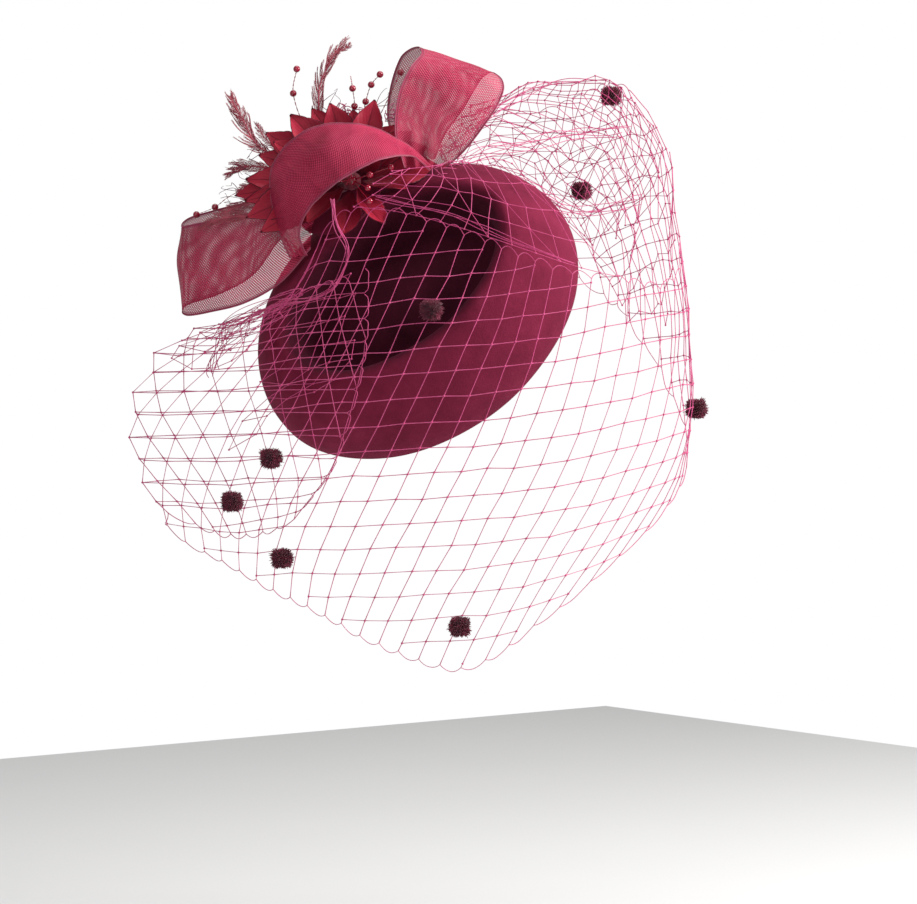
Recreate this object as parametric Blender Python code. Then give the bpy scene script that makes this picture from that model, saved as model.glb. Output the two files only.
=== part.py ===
"""Fascinator headpiece: a felt pillbox with crinoline loops, a petal flower, bead sprays, feathers and a dotted net veil.

Lengths in the tables are millimetres. The trim and the veil are laid out in the dressed frame: a runs to the
right, u up and t toward the side that the milliner dresses. The hat's own frame has x and y in the base plane
and z out of the crown. The origin is the centre of the base opening.
"""

import math

import bmesh
import bpy
from mathutils import Matrix, Vector

MM = 0.001
DRESSED_DEG = 38.0  # the dressed side, from the wearer's front toward the wearer's right

E1 = Vector((0.80, 0.60, 0.0))  # long axis of the base oval, in the dressed frame
CROWN = Vector((-0.30, 0.40, 0.866)).normalized()  # out of the crown
E2 = CROWN.cross(E1).normalized()  # short axis of the base oval

SEGMENTS = 36

FELT_OUTER = (
    (94.0, 75.0, 0.0),
    (93.6, 74.2, 9.0),
    (91.0, 71.0, 19.0),
    (87.0, 66.0, 29.0),
    (82.0, 59.5, 38.0),
    (76.5, 52.0, 45.0),
    (70.5, 45.0, 48.5),
    (65.0, 39.0, 46.0),
    (61.5, 35.5, 39.0),
    (59.5, 33.2, 31.5),
    (56.0, 30.5, 27.8),
    (50.0, 26.5, 27.6),
    (38.0, 20.0, 31.0),
    (22.0, 12.0, 34.5),
)
FELT_OUTER_TOP = 36.0
FELT_INNER = (
    (91.0, 72.0, 0.0),
    (90.6, 71.2, 9.0),
    (88.0, 68.2, 18.5),
    (84.0, 63.4, 27.8),
    (79.2, 56.8, 36.2),
    (74.4, 50.0, 42.2),
    (70.3, 44.9, 45.3),
    (67.6, 41.6, 43.6),
    (64.4, 38.4, 37.0),
    (62.4, 36.0, 29.6),
    (57.4, 31.6, 24.8),
    (50.0, 26.5, 24.4),
    (38.0, 20.0, 28.0),
    (22.0, 12.0, 31.5),
)
FELT_INNER_TOP = 33.0
LINING_OUTER = (
    (88.6, 69.0, 14.0),
    (86.7, 66.8, 20.0),
    (82.2, 61.4, 29.0),
    (72.0, 49.0, 27.0),
    (57.0, 32.0, 23.6),
    (50.0, 26.5, 23.6),
    (38.0, 20.0, 27.2),
    (22.0, 12.0, 30.7),
)
LINING_OUTER_TOP = 32.2
LINING_INNER = (
    (87.8, 68.2, 14.0),
    (85.8, 65.9, 19.6),
    (81.2, 60.3, 28.0),
    (72.0, 49.0, 26.1),
    (57.0, 32.0, 22.7),
    (50.0, 26.5, 22.7),
    (38.0, 20.0, 26.3),
    (22.0, 12.0, 29.8),
)
LINING_INNER_TOP = 31.3
SWEATBAND = ((90.0, 70.6, 2.4), (89.2, 69.6, 12.4), (88.2, 68.6, 12.4), (89.0, 69.6, 2.4))
HEM_WIRE = (89.9, 70.9, 1.15)
HEM_WIRE_RADIUS = 0.7

CRIN_THICK = 0.8
LEFT_LOOP = (
    ((-58, 36, 27), (-57, 48, 27), (-52, 60, 27)),
    ((-74, 18, 27), (-74, 38, 28), (-72, 57, 24)),
    ((-93, 7, 25), (-95, 30, 24), (-96, 54, 20)),
    ((-112, 2, 20), (-114, 26, 19), (-115, 50, 16)),
    ((-124, 0, 13), (-126, 24, 13), (-125, 48, 11)),
    ((-128, 2, 6), (-130, 26, 6), (-128, 48, 5)),
    ((-124, 6, -2), (-126, 29, -2), (-125, 52, -1)),
    ((-109, 11, -9), (-112, 34, -9), (-112, 56, -6)),
    ((-91, 21, -9), (-92, 41, -9), (-92, 61, -6)),
    ((-77, 38, 1), (-77, 52, 0), (-74, 66, 0)),
    ((-65, 55, 16), (-63, 63, 15), (-58, 72, 13)),
)
CENTRE_LOOP = (
    ((-68, 31, 32), (-64, 32, 37), (-59, 33, 41)),
    ((-77, 51, 34), (-72, 48, 45), (-63, 45, 53)),
    ((-79, 74, 34), (-72, 66, 50), (-57, 58, 62)),
    ((-69, 92, 34), (-61, 81, 53), (-46, 68, 67)),
    ((-50, 102, 34), (-43, 92, 54), (-32, 77, 67)),
    ((-28, 101, 33), (-23, 95, 49), (-16, 84, 61)),
    ((-8, 92, 29), (-6, 90, 39), (-3, 84, 48)),
    ((5, 80, 27), (6, 79, 31), (5, 77, 36)),
)
RIGHT_LOOP = (
    ((-8, 79, 22), (3, 79, 22), (14, 79, 22)),
    ((-13, 98, 24), (5, 94, 22), (24, 88, 24)),
    ((-11, 118, 23), (12, 110, 21), (35, 102, 22)),
    ((-5, 132, 18), (18, 123, 18), (42, 113, 17)),
    ((1, 140, 10), (23, 133, 11), (45, 123, 10)),
    ((-2, 144, 1), (19, 138, 2), (40, 130, 1)),
    ((-10, 139, -6), (11, 134, -6), (33, 127, -6)),
    ((-16, 122, -10), (4, 118, -11), (24, 112, -10)),
    ((-17, 104, -9), (-1, 102, -10), (14, 98, -9)),
    ((-9, 86, -2), (0, 85, -2), (8, 84, -2)),
)

FLOWER = Vector((-36, 72, 27))
STEM_FOOT = E1 * 6 + E2 * 62 + CROWN * 53.8
STEM_TOP = Vector((-36, 72, 29))
PETAL_THICK = 0.7
OUTER_PETALS = (  # tip, width, and how far the foot sits behind the middle of the flower
    ((-24, 115, 17), 17, -1.5),
    ((-48, 113, 12), 18, -5.0),
    ((-69, 107, 17), 19, -1.5),
    ((-82, 98, 12), 18, -5.0),
    ((-93, 73, 20), 18, -1.5),
    ((-93, 61, 28), 15, 0.5),
    ((-13, 101, 7), 16, -8.0),
)
INNER_PETALS = (
    ((-6, 68, 45), 15, 1.0),
    ((-18, 49, 53), 15, 2.0),
    ((-39, 43, 42), 16, -3.0),
    ((-59, 49, 47), 15, 2.5),
    ((-60, 76, 44), 15, 0.0),
    ((-22, 90, 44), 15, 0.0),
)

STAMENS = ((-26, 75, 47), (-27, 68, 52), (-26, 61, 55), (-46, 71, 49), (-15, 79, 44), (-37, 82, 47))
BEAD_RADIUS = 2.1
STAMEN_RADIUS = 1.7
WIRE_RADIUS = 0.4
SPRAYS = {
    "bead_spray_left": (
        ((-48, 82, 9), (-72, 78, 8), (-100, 65, 5), (-110, 58, 5), (-120, 54, 5)),
        (3, 4),
    ),
    "bead_spray_upper_left": (
        ((-50, 91, 2), (-62, 102, -1), (-68, 119, 2), (-66, 132, 4)),
        (2, 3),
    ),
    "bead_spray_middle": (
        ((-41, 86, 5), (-37, 100, 5), (-35, 112, 7), (-36, 121.5, 8), (-37, 128, 8)),
        (2, 3),
    ),
    "bead_spray_right": (
        ((-36, 86, 5), (-31, 104, 4), (-29, 114.5, 6), (-26, 123.5, 7), (-21.3, 129, 7)),
        (2, 3, 4),
    ),
    "bead_spray_far_right": (
        ((-31, 86, 5), (-24, 102, 3), (-16.5, 117, 5), (-10.3, 130.1, 8)),
        (3,),
    ),
}

FEATHERS = {
    "feather_tall": (
        ((-52, 93, 3), (-54, 106, 4), (-54, 121, 5), (-50, 132, 6), (-45, 141, 6), (-38, 150, 6)),
        4.6,
    ),
    "feather_upper_left": (
        ((-78, 85, 3), (-88, 92, 4), (-94, 103, 6), (-99, 112, 6), (-102, 118, 6)),
        5.6,
    ),
    "feather_far_left": (
        ((-80, 79, -1), (-90, 80, 0), (-98, 79, 1), (-105, 74, 2)),
        4.6,
    ),
    "feather_on_loop": (
        ((-89, 53, 30), (-98, 53, 28), (-109, 51, 25), (-119, 46, 21)),
        4.4,
    ),
}

VEIL_THICK = 1.2
VEIL_COLUMNS = 46
VEIL_ROWS = 8
VEIL = (  # one strip, from its cut end to the fold at the left, over itself to the near side, and round to the back
    ((-26, 23, 56), (-27, -10, 66), (-33, -45, 72), (-45, -78, 64), (-68, -110, 44)),
    ((-52, 18, 46), (-63, -12, 50), (-78, -48, 46), (-88, -85, 36), (-92, -120, 24)),
    ((-86, 2, 21), (-112, -18, 12), (-134, -52, 3), (-130, -88, -4), (-120, -116, -8)),
    ((-101, -2, 2), (-137, -14, 4), (-158, -50, -3), (-154, -84, -9), (-141, -108, -10)),
    ((-92, 0, 30), (-124, -16, 30), (-146, -52, 21), (-141, -92, 11), (-126, -124, 7)),
    ((-66, 14, 56), (-94, -20, 62), (-106, -60, 62), (-102, -106, 52), (-92, -138, 44)),
    ((-44, 54, 62), (-54, -6, 80), (-60, -66, 86), (-60, -120, 80), (-54, -156, 72)),
    ((-12, 58, 70), (-14, -6, 90), (-15, -74, 96), (-15, -132, 94), (-14, -175, 86)),
    ((26, 46, 78), (28, -16, 94), (30, -78, 98), (28, -138, 96), (26, -183, 88)),
    ((66, 31, 78), (76, -26, 88), (80, -80, 90), (74, -126, 88), (64, -160, 80)),
    ((104, 22, 58), (116, -22, 66), (120, -66, 68), (114, -102, 66), (102, -130, 60)),
    ((132, 20, 28), (140, -14, 34), (143, -52, 36), (138, -82, 34), (131, -104, 30)),
    ((140, 40, -2), (143, 8, 0), (146, -26, -2), (145, -54, -6), (143, -82, -8)),
    ((132, 96, -24), (138, 58, -34), (141, 20, -42), (141, -14, -46), (139, -44, -46)),
    ((107, 128, -38), (119, 104, -58), (126, 70, -76), (126, 30, -84), (120, -10, -86)),
    ((68, 129, -38), (84, 122, -76), (94, 92, -106), (98, 54, -124), (93, 14, -130)),
    ((26, 114, -26), (40, 122, -78), (53, 102, -124), (56, 72, -148), (54, 38, -158)),
    ((-4, 98, -18), (2, 110, -70), (8, 102, -112), (11, 86, -140), (10, 62, -154)),
)
DOT_RADIUS = 5.2
DOTS = (  # name, place in the dressed frame, and whether it sits on the near side of the net
    ("veil_dot_top", (104, 118), False),
    ("veil_dot_upper", (90, 67), False),
    ("veil_dot_right", (141, -50), True),
    ("veil_dot_hat", (6, 3), True),
    ("veil_dot_left_high", (-77, -74), True),
    ("veil_dot_left_low", (-97, -97), True),
    ("veil_dot_hem", (22, -159), True),
    ("veil_dot_hem_left", (-70, -126), True),
)

CLIP_WIDTH = 4.0  # half width
PIVOT_Z = 3.6
PIN_RADIUS = 0.65
PIN_HOLE = 0.95
JAW_PROFILE = (
    (-14.0, 13.4),
    (-13.4, 14.0),
    (-2.2, 6.4),
    (0.0, 6.1),
    (3.2, 5.0),
    (8.0, 2.3),
    (31.0, 2.3),
    (32.0, 1.5),
    (30.6, 1.35),
    (7.0, 1.4),
    (2.6, 2.4),
    (0.4, 1.9),
    (-1.6, 2.6),
    (-3.0, 4.4),
)
JAW_TEETH = 5

COLOURS = {
    "felt": (0.16, 0.012, 0.045, 1),
    "lining": (0.12, 0.02, 0.04, 1),
    "wire": (0.5, 0.5, 0.52, 1),
    "ribbon": (0.2, 0.02, 0.06, 1),
    "comb": (0.06, 0.03, 0.03, 1),
    "metal": (0.6, 0.6, 0.62, 1),
    "crin": (0.38, 0.03, 0.1, 1),
    "petal": (0.36, 0.015, 0.035, 1),
    "bead": (0.5, 0.01, 0.04, 1),
    "feather": (0.22, 0.02, 0.05, 1),
    "net": (0.5, 0.02, 0.13, 1),
    "dot": (0.07, 0.004, 0.02, 1),
}


def dressed(p):
    """The world point, in metres, of a point of the dressed frame in millimetres."""
    c, s = math.cos(math.radians(DRESSED_DEG)), math.sin(math.radians(DRESSED_DEG))
    a, u, t = p
    return Vector((a * c - t * s, -a * s - t * c, u)) * MM


def on_hat(x, y, z):
    """A point of the hat's own frame, in the dressed frame."""
    return E1 * x + E2 * y + CROWN * z


def hat_point(x, y, z):
    return dressed(on_hat(x, y, z))


def start_clean():
    for obj in list(bpy.data.objects):
        bpy.data.objects.remove(obj, do_unlink=True)
    scene = bpy.context.scene
    parts = bpy.data.collections.new("fascinator")
    cutters = bpy.data.collections.new("cutters")
    scene.collection.children.link(parts)
    scene.collection.children.link(cutters)
    return parts, cutters


PARTS, CUTTERS = start_clean()


def material_for(obj, kind):
    material = bpy.data.materials.new(obj.name)
    material.use_nodes = True
    shader = material.node_tree.nodes["Principled BSDF"]
    shader.inputs["Base Color"].default_value = COLOURS[kind]
    shader.inputs["Roughness"].default_value = 0.3 if kind in ("metal", "wire", "bead") else 0.8
    shader.inputs["Metallic"].default_value = 1.0 if kind in ("metal", "wire") else 0.0
    obj.data.materials.append(material)


def new_object(name, points, faces, kind, pivot=None):
    """One closed body. With a pivot, the object's origin is there."""
    origin = pivot if pivot is not None else Vector((0, 0, 0))
    mesh = bpy.data.meshes.new(name)
    mesh.from_pydata([Vector(p) - origin for p in points], [], faces)
    shape = bmesh.new()
    shape.from_mesh(mesh)
    bmesh.ops.remove_doubles(shape, verts=shape.verts, dist=1e-7)
    bmesh.ops.recalc_face_normals(shape, faces=shape.faces)
    shape.to_mesh(mesh)
    shape.free()
    obj = bpy.data.objects.new(name, mesh)
    obj.location = origin
    if kind is None:
        CUTTERS.objects.link(obj)
        obj.hide_render = True
        obj.display_type = "WIRE"
    else:
        PARTS.objects.link(obj)
        material_for(obj, kind)
    return obj


def boolean(obj, others, operation):
    """Joins or cuts obj by each of the others, then bakes the result and drops them."""
    for other in others:
        modifier = obj.modifiers.new("join", "BOOLEAN")
        modifier.operation = operation
        modifier.solver = "EXACT"
        modifier.object = other
    bpy.context.view_layer.update()
    graph = bpy.context.evaluated_depsgraph_get()
    baked = bpy.data.meshes.new_from_object(obj.evaluated_get(graph))
    obj.modifiers.clear()
    obj.data = baked
    for other in others:
        bpy.data.objects.remove(other, do_unlink=True)
    return obj


def catmull(points, count, closed=False):
    """count + 1 points spread evenly in parameter along a smooth curve through the points."""
    points = [Vector(p) for p in points]
    n = len(points)
    spans = n if closed else n - 1
    out = []
    for k in range(count + (0 if closed else 1)):
        f = k / count * spans
        i = min(int(f), spans - 1)
        f -= i
        if closed:
            q = [points[(i + d) % n] for d in (-1, 0, 1, 2)]
        else:
            q = [points[min(max(i + d, 0), n - 1)] for d in (-1, 0, 1, 2)]
            q[0] = q[0] if i > 0 else points[0] * 2 - points[1]
            q[3] = q[3] if i < n - 2 else points[-1] * 2 - points[-2]
        a = (q[1] * 2) + (q[2] - q[0]) * f
        b = (q[0] * 2 - q[1] * 5 + q[2] * 4 - q[3]) * (f * f)
        c = (q[1] * 3 - q[0] - q[2] * 3 + q[3]) * (f * f * f)
        out.append((a + b + c) * 0.5)
    return out


def surface(stations, columns, rows):
    """A smooth grid of points through the stations, each of which is a list of points across the strip."""
    across = [catmull(s, rows) for s in stations]
    lines = [catmull([s[j] for s in across], columns) for j in range(rows + 1)]
    return [[lines[j][i] for j in range(rows + 1)] for i in range(columns + 1)]


def grid_normals(grid):
    last_i, last_j = len(grid) - 1, len(grid[0]) - 1
    normals = []
    for i in range(last_i + 1):
        row = []
        for j in range(last_j + 1):
            along = grid[min(i + 1, last_i)][j] - grid[max(i - 1, 0)][j]
            across = grid[i][min(j + 1, last_j)] - grid[i][max(j - 1, 0)]
            row.append(along.cross(across).normalized())
        normals.append(row)
    return normals


def thin_sheet(name, grid, thick, kind):
    """A closed body, thick either side of the grid."""
    normals = grid_normals(grid)
    ni, nj = len(grid), len(grid[0])
    points = []
    for side in (0.5, -0.5):
        for i in range(ni):
            points += [dressed(grid[i][j] + normals[i][j] * (thick * side)) for j in range(nj)]
    faces = []
    for i in range(ni - 1):
        for j in range(nj - 1):
            a, b, c, d = i * nj + j, i * nj + j + 1, (i + 1) * nj + j + 1, (i + 1) * nj + j
            off = ni * nj
            faces += [(a, b, c, d), (d + off, c + off, b + off, a + off)]
    rim = [(i, 0) for i in range(ni)] + [(ni - 1, j) for j in range(1, nj)]
    rim += [(i, nj - 1) for i in range(ni - 2, -1, -1)] + [(0, j) for j in range(nj - 2, 0, -1)]
    for k, (i, j) in enumerate(rim):
        x, y = rim[(k + 1) % len(rim)]
        a, b = i * nj + j, x * nj + y
        faces.append((a, b, b + ni * nj, a + ni * nj))
    return new_object(name, points, faces, kind)


def ring(a, b, z, segments=SEGMENTS):
    turns = [2 * math.pi * k / segments for k in range(segments)]
    return [hat_point(a * math.cos(w), b * math.sin(w), z) for w in turns]


def bridge(first, second, count):
    return [(first + k, first + (k + 1) % count, second + (k + 1) % count, second + k) for k in range(count)]


def domed_shell(name, outer, outer_top, inner, inner_top, kind):
    """A shell of oval rings, closed at the rim, each skin ending in a point at the middle of the tip."""
    points, faces = [], []
    for rings, top in ((outer, outer_top), (inner, inner_top)):
        start = len(points)
        for k, (a, b, z) in enumerate(rings):
            points += ring(a, b, z)
            if k:
                faces += bridge(start + (k - 1) * SEGMENTS, start + k * SEGMENTS, SEGMENTS)
        last = start + (len(rings) - 1) * SEGMENTS
        points.append(hat_point(0, 0, top))
        tip = len(points) - 1
        faces += [(last + k, last + (k + 1) % SEGMENTS, tip) for k in range(SEGMENTS)]
    faces += bridge(0, len(outer) * SEGMENTS + 1, SEGMENTS)
    return new_object(name, points, faces, kind)


def oval_loop(name, section, kind):
    """A closed ring whose cross-section is the list of (a, b, z) corners."""
    points, faces = [], []
    for a, b, z in section:
        points += ring(a, b, z)
    n = len(section)
    for k in range(n):
        faces += bridge(k * SEGMENTS, (k + 1) % n * SEGMENTS, SEGMENTS)
    return new_object(name, points, faces, kind)


def tube_data(path, radius, sides, taper=None):
    """Points and faces of a capped tube along a path in the dressed frame."""
    path = [Vector(p) for p in path]
    points, faces = [], []
    side = None
    for k, p in enumerate(path):
        ahead = (path[min(k + 1, len(path) - 1)] - path[max(k - 1, 0)]).normalized()
        if side is None:
            side = ahead.orthogonal().normalized()
        side = (side - ahead * side.dot(ahead)).normalized()
        up = ahead.cross(side)
        r = radius * (taper[k] if taper else 1.0)
        for m in range(sides):
            w = 2 * math.pi * m / sides
            points.append(dressed(p + side * (r * math.cos(w)) + up * (r * math.sin(w))))
        if k:
            faces += bridge((k - 1) * sides, k * sides, sides)
    faces.append(tuple(range(sides)))
    faces.append(tuple(len(points) - 1 - m for m in range(sides)))
    return points, faces


def tube(name, path, radius, sides, kind, taper=None):
    points, faces = tube_data(path, radius, sides, taper)
    return new_object(name, points, faces, kind)


def ball(name, centre, radius, kind, steps=2, squash=1.0):
    shape = bmesh.new()
    bmesh.ops.create_icosphere(shape, subdivisions=steps, radius=radius * MM)
    at = dressed(centre)
    points = [v.co * 1.0 for v in shape.verts]
    faces = [[v.index for v in f.verts] for f in shape.faces]
    shape.free()
    points = [Vector((p.x, p.y, p.z * squash)) + at for p in points]
    return new_object(name, points, faces, kind)


def make_hat():
    domed_shell("felt_shell", FELT_OUTER, FELT_OUTER_TOP, FELT_INNER, FELT_INNER_TOP, "felt")
    domed_shell("crown_lining", LINING_OUTER, LINING_OUTER_TOP, LINING_INNER, LINING_INNER_TOP, "lining")
    oval_loop("sweatband", SWEATBAND, "ribbon")
    a, b, z = HEM_WIRE
    section = []
    for k in range(5):
        w = 2 * math.pi * k / 5
        r = HEM_WIRE_RADIUS
        section.append((a + r * math.cos(w), b + r * math.cos(w), z + r * math.sin(w)))
    oval_loop("hem_wire", section, "wire")


def extrude(outline, place, low, high, name, kind, pivot=None):
    """A prism: place(x, z) gives the world point of an outline corner at depth y."""
    n = len(outline)
    points = [place(x, low, z) for x, z in outline] + [place(x, high, z) for x, z in outline]
    faces = [tuple(range(n)), tuple(range(2 * n - 1, n - 1, -1))]
    faces += [(k, (k + 1) % n, (k + 1) % n + n, k + n) for k in range(n)]
    return new_object(name, points, faces, kind, pivot)


def make_comb():
    """A flat comb in the base plane, its teeth toward the middle of the head."""
    teeth, pitch, root, length = 13, 4.9, 61.4, 33.0
    outline = [(-32.4, root + 2.2), (-32.4, root)]
    for k in range(teeth):
        x = (k - (teeth - 1) / 2) * pitch
        tip = root - length + 0.05 * x * x / 4.9
        outline += [(x - 1.2, root - 0.4), (x - 0.45, tip), (x + 0.45, tip), (x + 1.2, root - 0.4)]
    outline += [(32.4, root), (32.4, root + 2.2)]

    def place(x, y, z):
        return hat_point(x, z, y + 4.6 - 0.004 * (62.0 - z) ** 2)

    n = len(outline)
    low = [place(x, 0.0, z) for x, z in outline]
    high = [place(x, 1.7, z) for x, z in outline]
    faces = [tuple(range(n)), tuple(range(2 * n - 1, n - 1, -1))]
    faces += [(k, (k + 1) % n, (k + 1) % n + n, k + n) for k in range(n)]
    new_object("hair_comb", low + high, faces, "comb")


def clip_place(centre_x):
    """The clip's own frame: x toward the mouth, y along the hinge pin, z away from the crown."""

    def place(x, y, z):
        return hat_point(centre_x + y, x - 9.0, 6.0 - z)

    return place


def disc_outline(cx, cz, radius, count):
    turns = [2 * math.pi * k / count for k in range(count)]
    return [(cx + radius * math.cos(w), cz + radius * math.sin(w)) for w in turns]


def clip_base(name, place):
    plate = [(-14.0, 0.0), (32.0, 0.0), (32.0, 0.8)]
    for k in range(JAW_TEETH):
        x = 30.0 - 4.0 * k
        plate += [(x + 0.6, 0.8), (x, 1.0), (x - 0.6, 0.8)]
    plate += [(-14.0, 0.8)]
    base = extrude(plate, place, -CLIP_WIDTH, CLIP_WIDTH, name, "metal")
    ears = []
    for low, high in ((-4.0, -3.2), (3.2, 4.0)):
        outline = [(-3.2, 0.4), (3.2, 0.4), (1.9, 4.6), (0.9, 5.5), (-0.9, 5.5), (-1.9, 4.6)]
        ears.append(extrude(outline, place, low, high, "ear", None))
    boolean(base, ears, "UNION")
    hole = extrude(disc_outline(0, PIVOT_Z, PIN_HOLE, 10), place, -5, 5, "hole", None)
    boolean(base, [hole], "DIFFERENCE")


def clip_jaw(name, place, pivot):
    outline = list(JAW_PROFILE)
    jaw = extrude(outline, place, -2.8, 2.8, name, "metal", pivot)
    hole = extrude(disc_outline(0, PIVOT_Z, PIN_HOLE, 10), place, -5, 5, "hole", None)
    pocket = extrude(disc_outline(0, PIVOT_Z, 3.4, 12), place, -1.7, 1.7, "pocket", None)
    boolean(jaw, [hole, pocket], "DIFFERENCE")


def clip_spring(name, place):
    """Two and a half turns round the pin, with short tails."""
    path, turns, steps = [], 2.5, 25
    radius = 1.5
    for k in range(steps + 1):
        w = 2 * math.pi * turns * k / steps + math.pi / 2
        y = -1.1 + 2.2 * k / steps
        path.append((radius * math.cos(w), y, PIVOT_Z + radius * math.sin(w)))
    path = [(-1.6, -1.1, PIVOT_Z + 1.7)] + path + [(1.6, 1.1, PIVOT_Z - 1.7)]
    inverse = []
    for x, y, z in path:
        inverse.append(undress(place(x, y, z)))
    tube(name, inverse, 0.28, 5, "metal")


def undress(p):
    """The dressed frame's point of a world point."""
    c, s = math.cos(math.radians(DRESSED_DEG)), math.sin(math.radians(DRESSED_DEG))
    x, y, z = p.x / MM, p.y / MM, p.z / MM
    return Vector((x * c - y * s, z, -x * s - y * c))


def make_clips():
    for side, centre_x in (("front", 78.5), ("back", -78.5)):
        place = clip_place(centre_x)
        clip_base(f"clip_{side}_base", place)
        clip_jaw(f"clip_{side}_jaw", place, place(0, 0, PIVOT_Z))
        pin = disc_outline(0, PIVOT_Z, PIN_RADIUS, 10)
        extrude(pin, place, -4.6, 4.6, f"clip_{side}_pin", "metal")
        clip_spring(f"clip_{side}_spring", place)
        sign = 1 if centre_x > 0 else -1
        low, high = sorted((sign * -3.6, sign * 8.0))
        tab = [(-4.0, -1.6), (18.0, -1.6), (18.0, -0.35), (-4.0, -0.35)]
        extrude(tab, place, low, high, f"clip_{side}_tab", "felt")


def petal(name, base, tip, width, lift, facing, thick=PETAL_THICK):
    """A pointed petal from base to tip, arched toward facing and cupped along its middle."""
    base, tip = Vector(base), Vector(tip)
    ahead = (tip - base).normalized()
    facing = (Vector(facing) - ahead * Vector(facing).dot(ahead)).normalized()
    side = ahead.cross(facing)
    stations = []
    for t, w in ((0.0, 0.2), (0.22, 0.62), (0.5, 1.0), (0.76, 0.72), (0.93, 0.26), (1.0, 0.06)):
        middle = base.lerp(tip, t) + facing * (lift * math.sin(math.pi * t))
        half = side * (width * 0.5 * w)
        cup = facing * (width * 0.16 * w)
        stations.append((middle - half + cup, middle, middle + half + cup))
    grid = [list(map(Vector, s)) for s in stations]
    thin_sheet(name, grid, thick, "petal")


def make_flower():
    core = ball("flower_core", (-36, 72, 30), 5.2, "petal", 2)
    stem = tube("stem", [STEM_FOOT, STEM_TOP], 2.2, 8, None)
    boolean(core, [stem], "UNION")
    for k, (tip, width, drop) in enumerate(OUTER_PETALS):
        ahead = (Vector(tip) - FLOWER).normalized()
        base = FLOWER + ahead * 8.2 + Vector((0, 0, drop))
        petal(f"petal_outer_{k + 1}", base, Vector(tip), width, 2.5, (0, 0.2, 1))
    for k, (tip, width, drop) in enumerate(INNER_PETALS):
        ahead = (Vector(tip) - Vector((-36, 72, 32))).normalized()
        base = Vector((-36, 72, 32)) + ahead * 7.6 + Vector((0, 0, drop))
        petal(f"petal_inner_{k + 1}", base, Vector(tip), width, -2.0, (0, 0.1, 1))


def make_stamens():
    cap = Vector((-35.5, 72.2, 38.0))
    body = ball("flower_stamens", cap, 2.4, "bead", 1)
    extra = []
    for k, bead in enumerate(STAMENS):
        middle = cap.lerp(Vector(bead), 0.55) + Vector((0, 0, 1.5))
        extra.append(tube(f"wire{k}", [cap, middle, bead], WIRE_RADIUS, 5, None))
        extra.append(ball(f"bead{k}", bead, STAMEN_RADIUS, None, 1))
    boolean(body, extra, "UNION")


def make_sprays():
    for name, (path, beads) in SPRAYS.items():
        body = tube(name, catmull(path, 2 * (len(path) - 1)), WIRE_RADIUS, 5, "bead")
        extra = [ball(f"{name}_{k}", path[k], BEAD_RADIUS, None, 2) for k in beads]
        boolean(body, extra, "UNION")


def make_feathers():
    for name, (path, width) in FEATHERS.items():
        line = catmull(path, 6)
        grid = []
        for k, p in enumerate(line):
            ahead = (line[min(k + 1, 6)] - line[max(k - 1, 0)]).normalized()
            side = ahead.cross(Vector((0.15, 0.1, 1))).normalized()
            half = width * (0.1, 0.42, 0.5, 0.46, 0.36, 0.22, 0.05)[k]
            grid.append([p - side * half, p, p + side * half])
        thin_sheet(name, grid, 0.6, "feather")


def make_loops():
    thin_sheet("crin_loop_left", surface(LEFT_LOOP, 22, 3), CRIN_THICK, "crin")
    thin_sheet("crin_loop_centre", surface(CENTRE_LOOP, 16, 4), CRIN_THICK, "crin")
    thin_sheet("crin_loop_right", surface(RIGHT_LOOP, 20, 3), CRIN_THICK, "crin")


def make_trim_base():
    points, faces = [], []
    count = 20
    for z in (49.6, 51.8):
        for k in range(count):
            w = 2 * math.pi * k / count
            points.append(hat_point(4 + 26 * math.cos(w), 59 + 19 * math.sin(w), z))
    faces = [tuple(range(count)), tuple(range(2 * count - 1, count - 1, -1))] + bridge(0, count, count)
    new_object("trim_base", points, faces, "felt")
    path = []
    foot, top = STEM_FOOT, STEM_TOP
    ahead = (top - foot).normalized()
    side = ahead.orthogonal().normalized()
    up = ahead.cross(side)
    for k in range(25):
        w = 2 * math.pi * 3 * k / 24
        along = ahead * (1.6 + 3.6 * k / 24)
        path.append(foot + along + side * (3.2 * math.cos(w)) + up * (3.2 * math.sin(w)))
    tube("stem_binding", path, 0.5, 5, "ribbon")


def make_veil():
    grid = surface(VEIL, VEIL_COLUMNS, VEIL_ROWS)
    thin_sheet("veil_net", grid, VEIL_THICK, "net")
    normals = grid_normals(grid)
    middle = Vector((0, -40, -35))
    first, turn = VEIL_COLUMNS * 4 // 17, VEIL_COLUMNS * 12.4 / 17
    for name, (a, u), near in DOTS:
        best = None
        for i in range(VEIL_COLUMNS + 1):
            if i < first or (i < turn) != near:
                continue
            for j in range(VEIL_ROWS + 1):
                p = grid[i][j]
                gap = (p.x - a) ** 2 + (p.y - u) ** 2
                if best is None or gap < best[0]:
                    best = (gap, p, normals[i][j])
        outward = best[2] if best[2].dot(best[1] - middle) > 0 else -best[2]
        ball(name, best[1] + outward * (DOT_RADIUS + VEIL_THICK / 2 + 0.4), DOT_RADIUS, "dot", 2)


make_hat()
make_comb()
make_clips()
make_trim_base()
make_loops()
make_flower()
make_stamens()
make_sprays()
make_feathers()
make_veil()
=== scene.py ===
"""Looks of the fascinator headpiece. The tables hold the CAD model's shapes in millimetres: a to the
right, u up and t toward the dressed side."""

import math

import bmesh
import bpy
import numpy as np
from mathutils import Matrix, Vector, noise

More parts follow.
